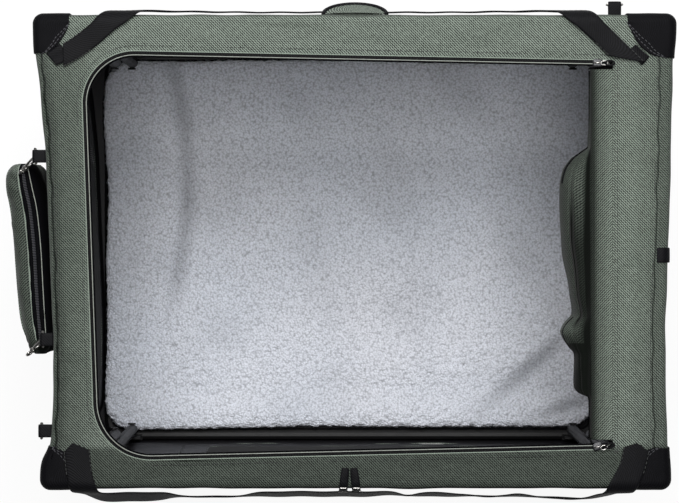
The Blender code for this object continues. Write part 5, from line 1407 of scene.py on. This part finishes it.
FRAME_FINISHES = {"_frame": "tube", "_leg_": "tube", "bracket": "nylon", "_ring": "nickel"}


def finish_frame():
    """Give the tubes, hinge brackets and rings of the frame their finishes."""
    for name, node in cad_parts.items():
        for word, material in FRAME_FINISHES.items():
            if word in name:
                for slot in node.material_slots:
                    slot.material = finish(material)


# ---------------------------------------------------------------- stage


# The photo's focal length and width in pixels
FOCAL, PICTURE_WIDTH = 2527, 679
SENSOR = 36.0


def build_stage():
    """A pale floor, three soft lights, a sky and the camera that looks straight down."""
    light = stage_settings()
    pale = (0.86, 0.86, 0.86, 1)
    material, tree, shader, _ = new_material("pale_floor", roughness=0.9, base_color=pale, specular_ior_level=0.0)
    rays = add_node(tree, "ShaderNodeLightPath", output="Is Camera Ray")
    bright = add_node(tree, "ShaderNodeEmission", {"Color": (1, 1, 1, 1), "Strength": 1.0})
    share = add_node(tree, "ShaderNodeMath", {0: rays, 1: 0.9}, operation="MULTIPLY")
    both = add_node(tree, "ShaderNodeMixShader", {0: share, 1: shader.outputs[0], 2: bright})
    tree.links.new(both, tree.nodes["Material Output"].inputs["Surface"])
    MADE["floor"] = material
    plan = np.stack(np.meshgrid(np.linspace(-4, 4, 9), np.linspace(-4, 4, 9)), axis=-1)
    grid_piece("studio_floor", at_height(plan, -0.3 * MM), "floor", smooth=False)

    scene = bpy.context.scene
    world = bpy.data.worlds.new("studio_sky")
    world.use_nodes = True
    sky = world.node_tree.nodes["Background"]
    sky.inputs["Color"].default_value = (1, 1, 1, 1)
    sky.inputs["Strength"].default_value = light.sky
    scene.world = world

    # A large soft light high behind the crate, an even one far above it, and a low narrow one that rakes over its top
    for name, power, size, y, above in (
        ("key", light.key, (1.5, 1.7), 1.45, 2.6),
        ("fill", light.fill, (1.3, 1.3), -0.05, 4.0),
        ("rake", light.rake, (1.4, 0.15), 1.1, 0.35),
    ):
        source = bpy.data.lights.new(name, "AREA")
        source.energy = power
        source.shape = "RECTANGLE"
        source.size, source.size_y = size
        lamp = bpy.data.objects.new(name, source)
        lamp.location = (0.0, y, HEIGHT + above)
        lamp.rotation_euler = (-math.atan2(y + 0.05, above + 0.1), 0.0, 0.0)
        scene.collection.objects.link(lamp)

    camera = bpy.data.cameras.new("camera")
    camera.sensor_width = SENSOR
    camera.lens = SENSOR * FOCAL / PICTURE_WIDTH
    camera.shift_y = light.shift
    camera.clip_end = 20.0
    eye = bpy.data.objects.new("camera", camera)
    eye.location = (light.eye_x, light.eye_y, HEIGHT + light.distance)
    scene.collection.objects.link(eye)
    scene.camera = eye
    scene.view_settings.view_transform = "Standard"


# ---------------------------------------------------------------- add-on


def colour_property(name, description, code):
    """A colour that a user may change."""
    return FloatVectorProperty(
        name=name, description=description, subtype="COLOR", size=3, min=0, max=1, default=hex_colour(code)
    )


class CrateColours(PropertyGroup):
    """Colours of the crate's cloths."""

    green: colour_property("Green", "Cover cloth", "#5a625a")
    # Edge is a painted highlight along folded hems and piping
    edge: colour_property("Edge", "Folded hems and piping", "#7c867c")
    black: colour_property("Black", "Corner patches and zip tape", "#060609")
    webbing: colour_property("Webbing", "Straps and tabs", "#08080b")
    lining: colour_property("Lining", "Inner side of the cover", "#17161a")
    fleece: colour_property("Fleece", "Mat", "#f8f9fc")


class CrateSizes(PropertyGroup):
    """Sizes of the crate's fine detail."""

    mat_columns: IntProperty(name="Mat grid", description="Points along the mat", default=300, min=60, max=420)
    pile_height: FloatProperty(
        name="Pile", description="Height of the fleece's curls", default=0.75 * MM, unit="LENGTH", precision=4
    )


class StageSettings(PropertyGroup):
    """Light and camera."""

    sky: FloatProperty(name="Sky", description="Strength of the even light", default=0.1, min=0)
    key: FloatProperty(name="Key", description="Power of the large high lamp", default=112.0, min=0, unit="POWER")
    fill: FloatProperty(name="Fill", description="Power of the lamp far above", default=80.0, min=0, unit="POWER")
    rake: FloatProperty(name="Rake", description="Power of the low lamp behind", default=3.5, min=0, unit="POWER")
    distance: FloatProperty(
        name="Distance", description="Camera's height above the top", default=2.43, min=1, unit="LENGTH"
    )
    eye_x: FloatProperty(name="Eye X", description="Camera's place towards the right", default=-0.0149, unit="LENGTH")
    eye_y: FloatProperty(name="Eye Y", description="Camera's place towards the back", default=0.0306, unit="LENGTH")
    shift: FloatProperty(name="Shift", description="Camera's vertical shift", default=-0.0466)


def colours():
    """The scene's colours of the crate."""
    return bpy.context.scene.crate_colours


def sizes():
    """The scene's sizes of the crate."""
    return bpy.context.scene.crate_sizes


def stage_settings():
    """The scene's light and camera."""
    return bpy.context.scene.crate_stage


class Undoable:
    """What the operators share: each can be undone. An error in a build is raised, not hidden."""

    bl_options = {"REGISTER", "UNDO"}


class CRATE_OT_frame(Undoable, Operator):
    """Give the frame's tubes, brackets and rings their finishes"""

    bl_idname = "crate.frame"
    bl_label = "Frame Finishes"

    def execute(self, context):
        finish_frame()
        return {"FINISHED"}


class CRATE_OT_floor(Undoable, Operator):
    """Build the cover's floor with its turned-up skirt"""

    bl_idname = "crate.floor"
    bl_label = "Floor"

    def execute(self, context):
        build_floor()
        return {"FINISHED"}


class CRATE_OT_walls(Undoable, Operator):
    """Build the four walls with their netting windows"""

    bl_idname = "crate.walls"
    bl_label = "Walls"

    def execute(self, context):
        build_walls()
        return {"FINISHED"}


class CRATE_OT_front_door(Undoable, Operator):
    """Build the front door with its netting, zip and sliders"""

    bl_idname = "crate.front_door"
    bl_label = "Front Door"

    def execute(self, context):
        build_front_door()
        return {"FINISHED"}


class CRATE_OT_mat(Undoable, Operator):
    """Build the fleece mat"""

    bl_idname = "crate.mat"
    bl_label = "Fleece Mat"

    def execute(self, context):
        build_mat()
        return {"FINISHED"}


class CRATE_OT_top_panel(Undoable, Operator):
    """Build the cover's top round its doorway"""

    bl_idname = "crate.top_panel"
    bl_label = "Top Panel"

    def execute(self, context):
        build_top_panel()
        return {"FINISHED"}


class CRATE_OT_top_zips(Undoable, Operator):
    """Build the doorway's zip tape, sliders and pulls"""

    bl_idname = "crate.top_zips"
    bl_label = "Top Zips"

    def execute(self, context):
        build_top_zips()
        return {"FINISHED"}


class CRATE_OT_top_door(Undoable, Operator):
    """Build the unzipped top door, rolled and bunched to the right"""

    bl_idname = "crate.top_door"
    bl_label = "Top Door"

    def execute(self, context):
        build_top_door()
        return {"FINISHED"}


class CRATE_OT_patches(Undoable, Operator):
    """Build the black patches on the top and foot corners"""

    bl_idname = "crate.patches"
    bl_label = "Corner Patches"

    def execute(self, context):
        build_patches()
        return {"FINISHED"}


class CRATE_OT_straps(Undoable, Operator):
    """Build the front and back carry straps"""

    bl_idname = "crate.straps"
    bl_label = "Carry Straps"

    def execute(self, context):
        build_straps()
        return {"FINISHED"}


class CRATE_OT_grab_tab(Undoable, Operator):
    """Build the half-round grab tab on the back rim"""

    bl_idname = "crate.grab_tab"
    bl_label = "Grab Tab"

    def execute(self, context):
        build_grab_tab()
        return {"FINISHED"}


class CRATE_OT_tabs(Undoable, Operator):
    """Build the webbing tabs on the rim and the right end's loop"""

    bl_idname = "crate.tabs"
    bl_label = "Webbing Tabs"

    def execute(self, context):
        build_tabs()
        return {"FINISHED"}


class CRATE_OT_pouch(Undoable, Operator):
    """Build the zip pouch and its snap hooks"""

    bl_idname = "crate.pouch"
    bl_label = "Pouch"

    def execute(self, context):
        build_pouch()
        return {"FINISHED"}


class CRATE_OT_stage(Undoable, Operator):
    """Set up the floor, lights, sky and camera"""

    bl_idname = "crate.stage"
    bl_label = "Stage"

    def execute(self, context):
        build_stage()
        return {"FINISHED"}


# In the order in which they are called
OPERATORS = [
    CRATE_OT_frame, CRATE_OT_floor, CRATE_OT_walls, CRATE_OT_front_door, CRATE_OT_mat, CRATE_OT_top_panel,
    CRATE_OT_top_zips, CRATE_OT_top_door, CRATE_OT_patches, CRATE_OT_straps, CRATE_OT_grab_tab, CRATE_OT_tabs,
    CRATE_OT_pouch, CRATE_OT_stage,
]


class CRATE_PT_panel(Panel):
    """Sidebar panel that lists the crate's settings and pieces"""

    bl_label = "Dog Crate"
    bl_space_type = "VIEW_3D"
    bl_region_type = "UI"
    bl_category = "Dog Crate"

    def draw(self, context):
        for group in (colours(), sizes(), stage_settings()):
            box = self.layout.box()
            for key in group.bl_rna.properties.keys():
                if key not in ("rna_type", "name"):
                    box.prop(group, key)
        for entry in OPERATORS:
            self.layout.operator(entry.bl_idname)


GROUPS = {"crate_colours": CrateColours, "crate_sizes": CrateSizes, "crate_stage": StageSettings}
CLASSES = [*GROUPS.values(), *OPERATORS, CRATE_PT_panel]


def register():
    """Register the classes and hang the property groups on the scene."""
    for cls in CLASSES:
        bpy.utils.register_class(cls)
    for name, group in GROUPS.items():
        setattr(bpy.types.Scene, name, PointerProperty(type=group))


def unregister():
    """Undo what register does."""
    for name in GROUPS:
        delattr(bpy.types.Scene, name)
    for cls in reversed(CLASSES):
        bpy.utils.unregister_class(cls)


def main():
    """Build every piece in order."""
    register()
    for entry in OPERATORS:
        family, name = entry.bl_idname.split(".")
        getattr(getattr(bpy.ops, family), name)()


if __name__ == "__main__":
    main()
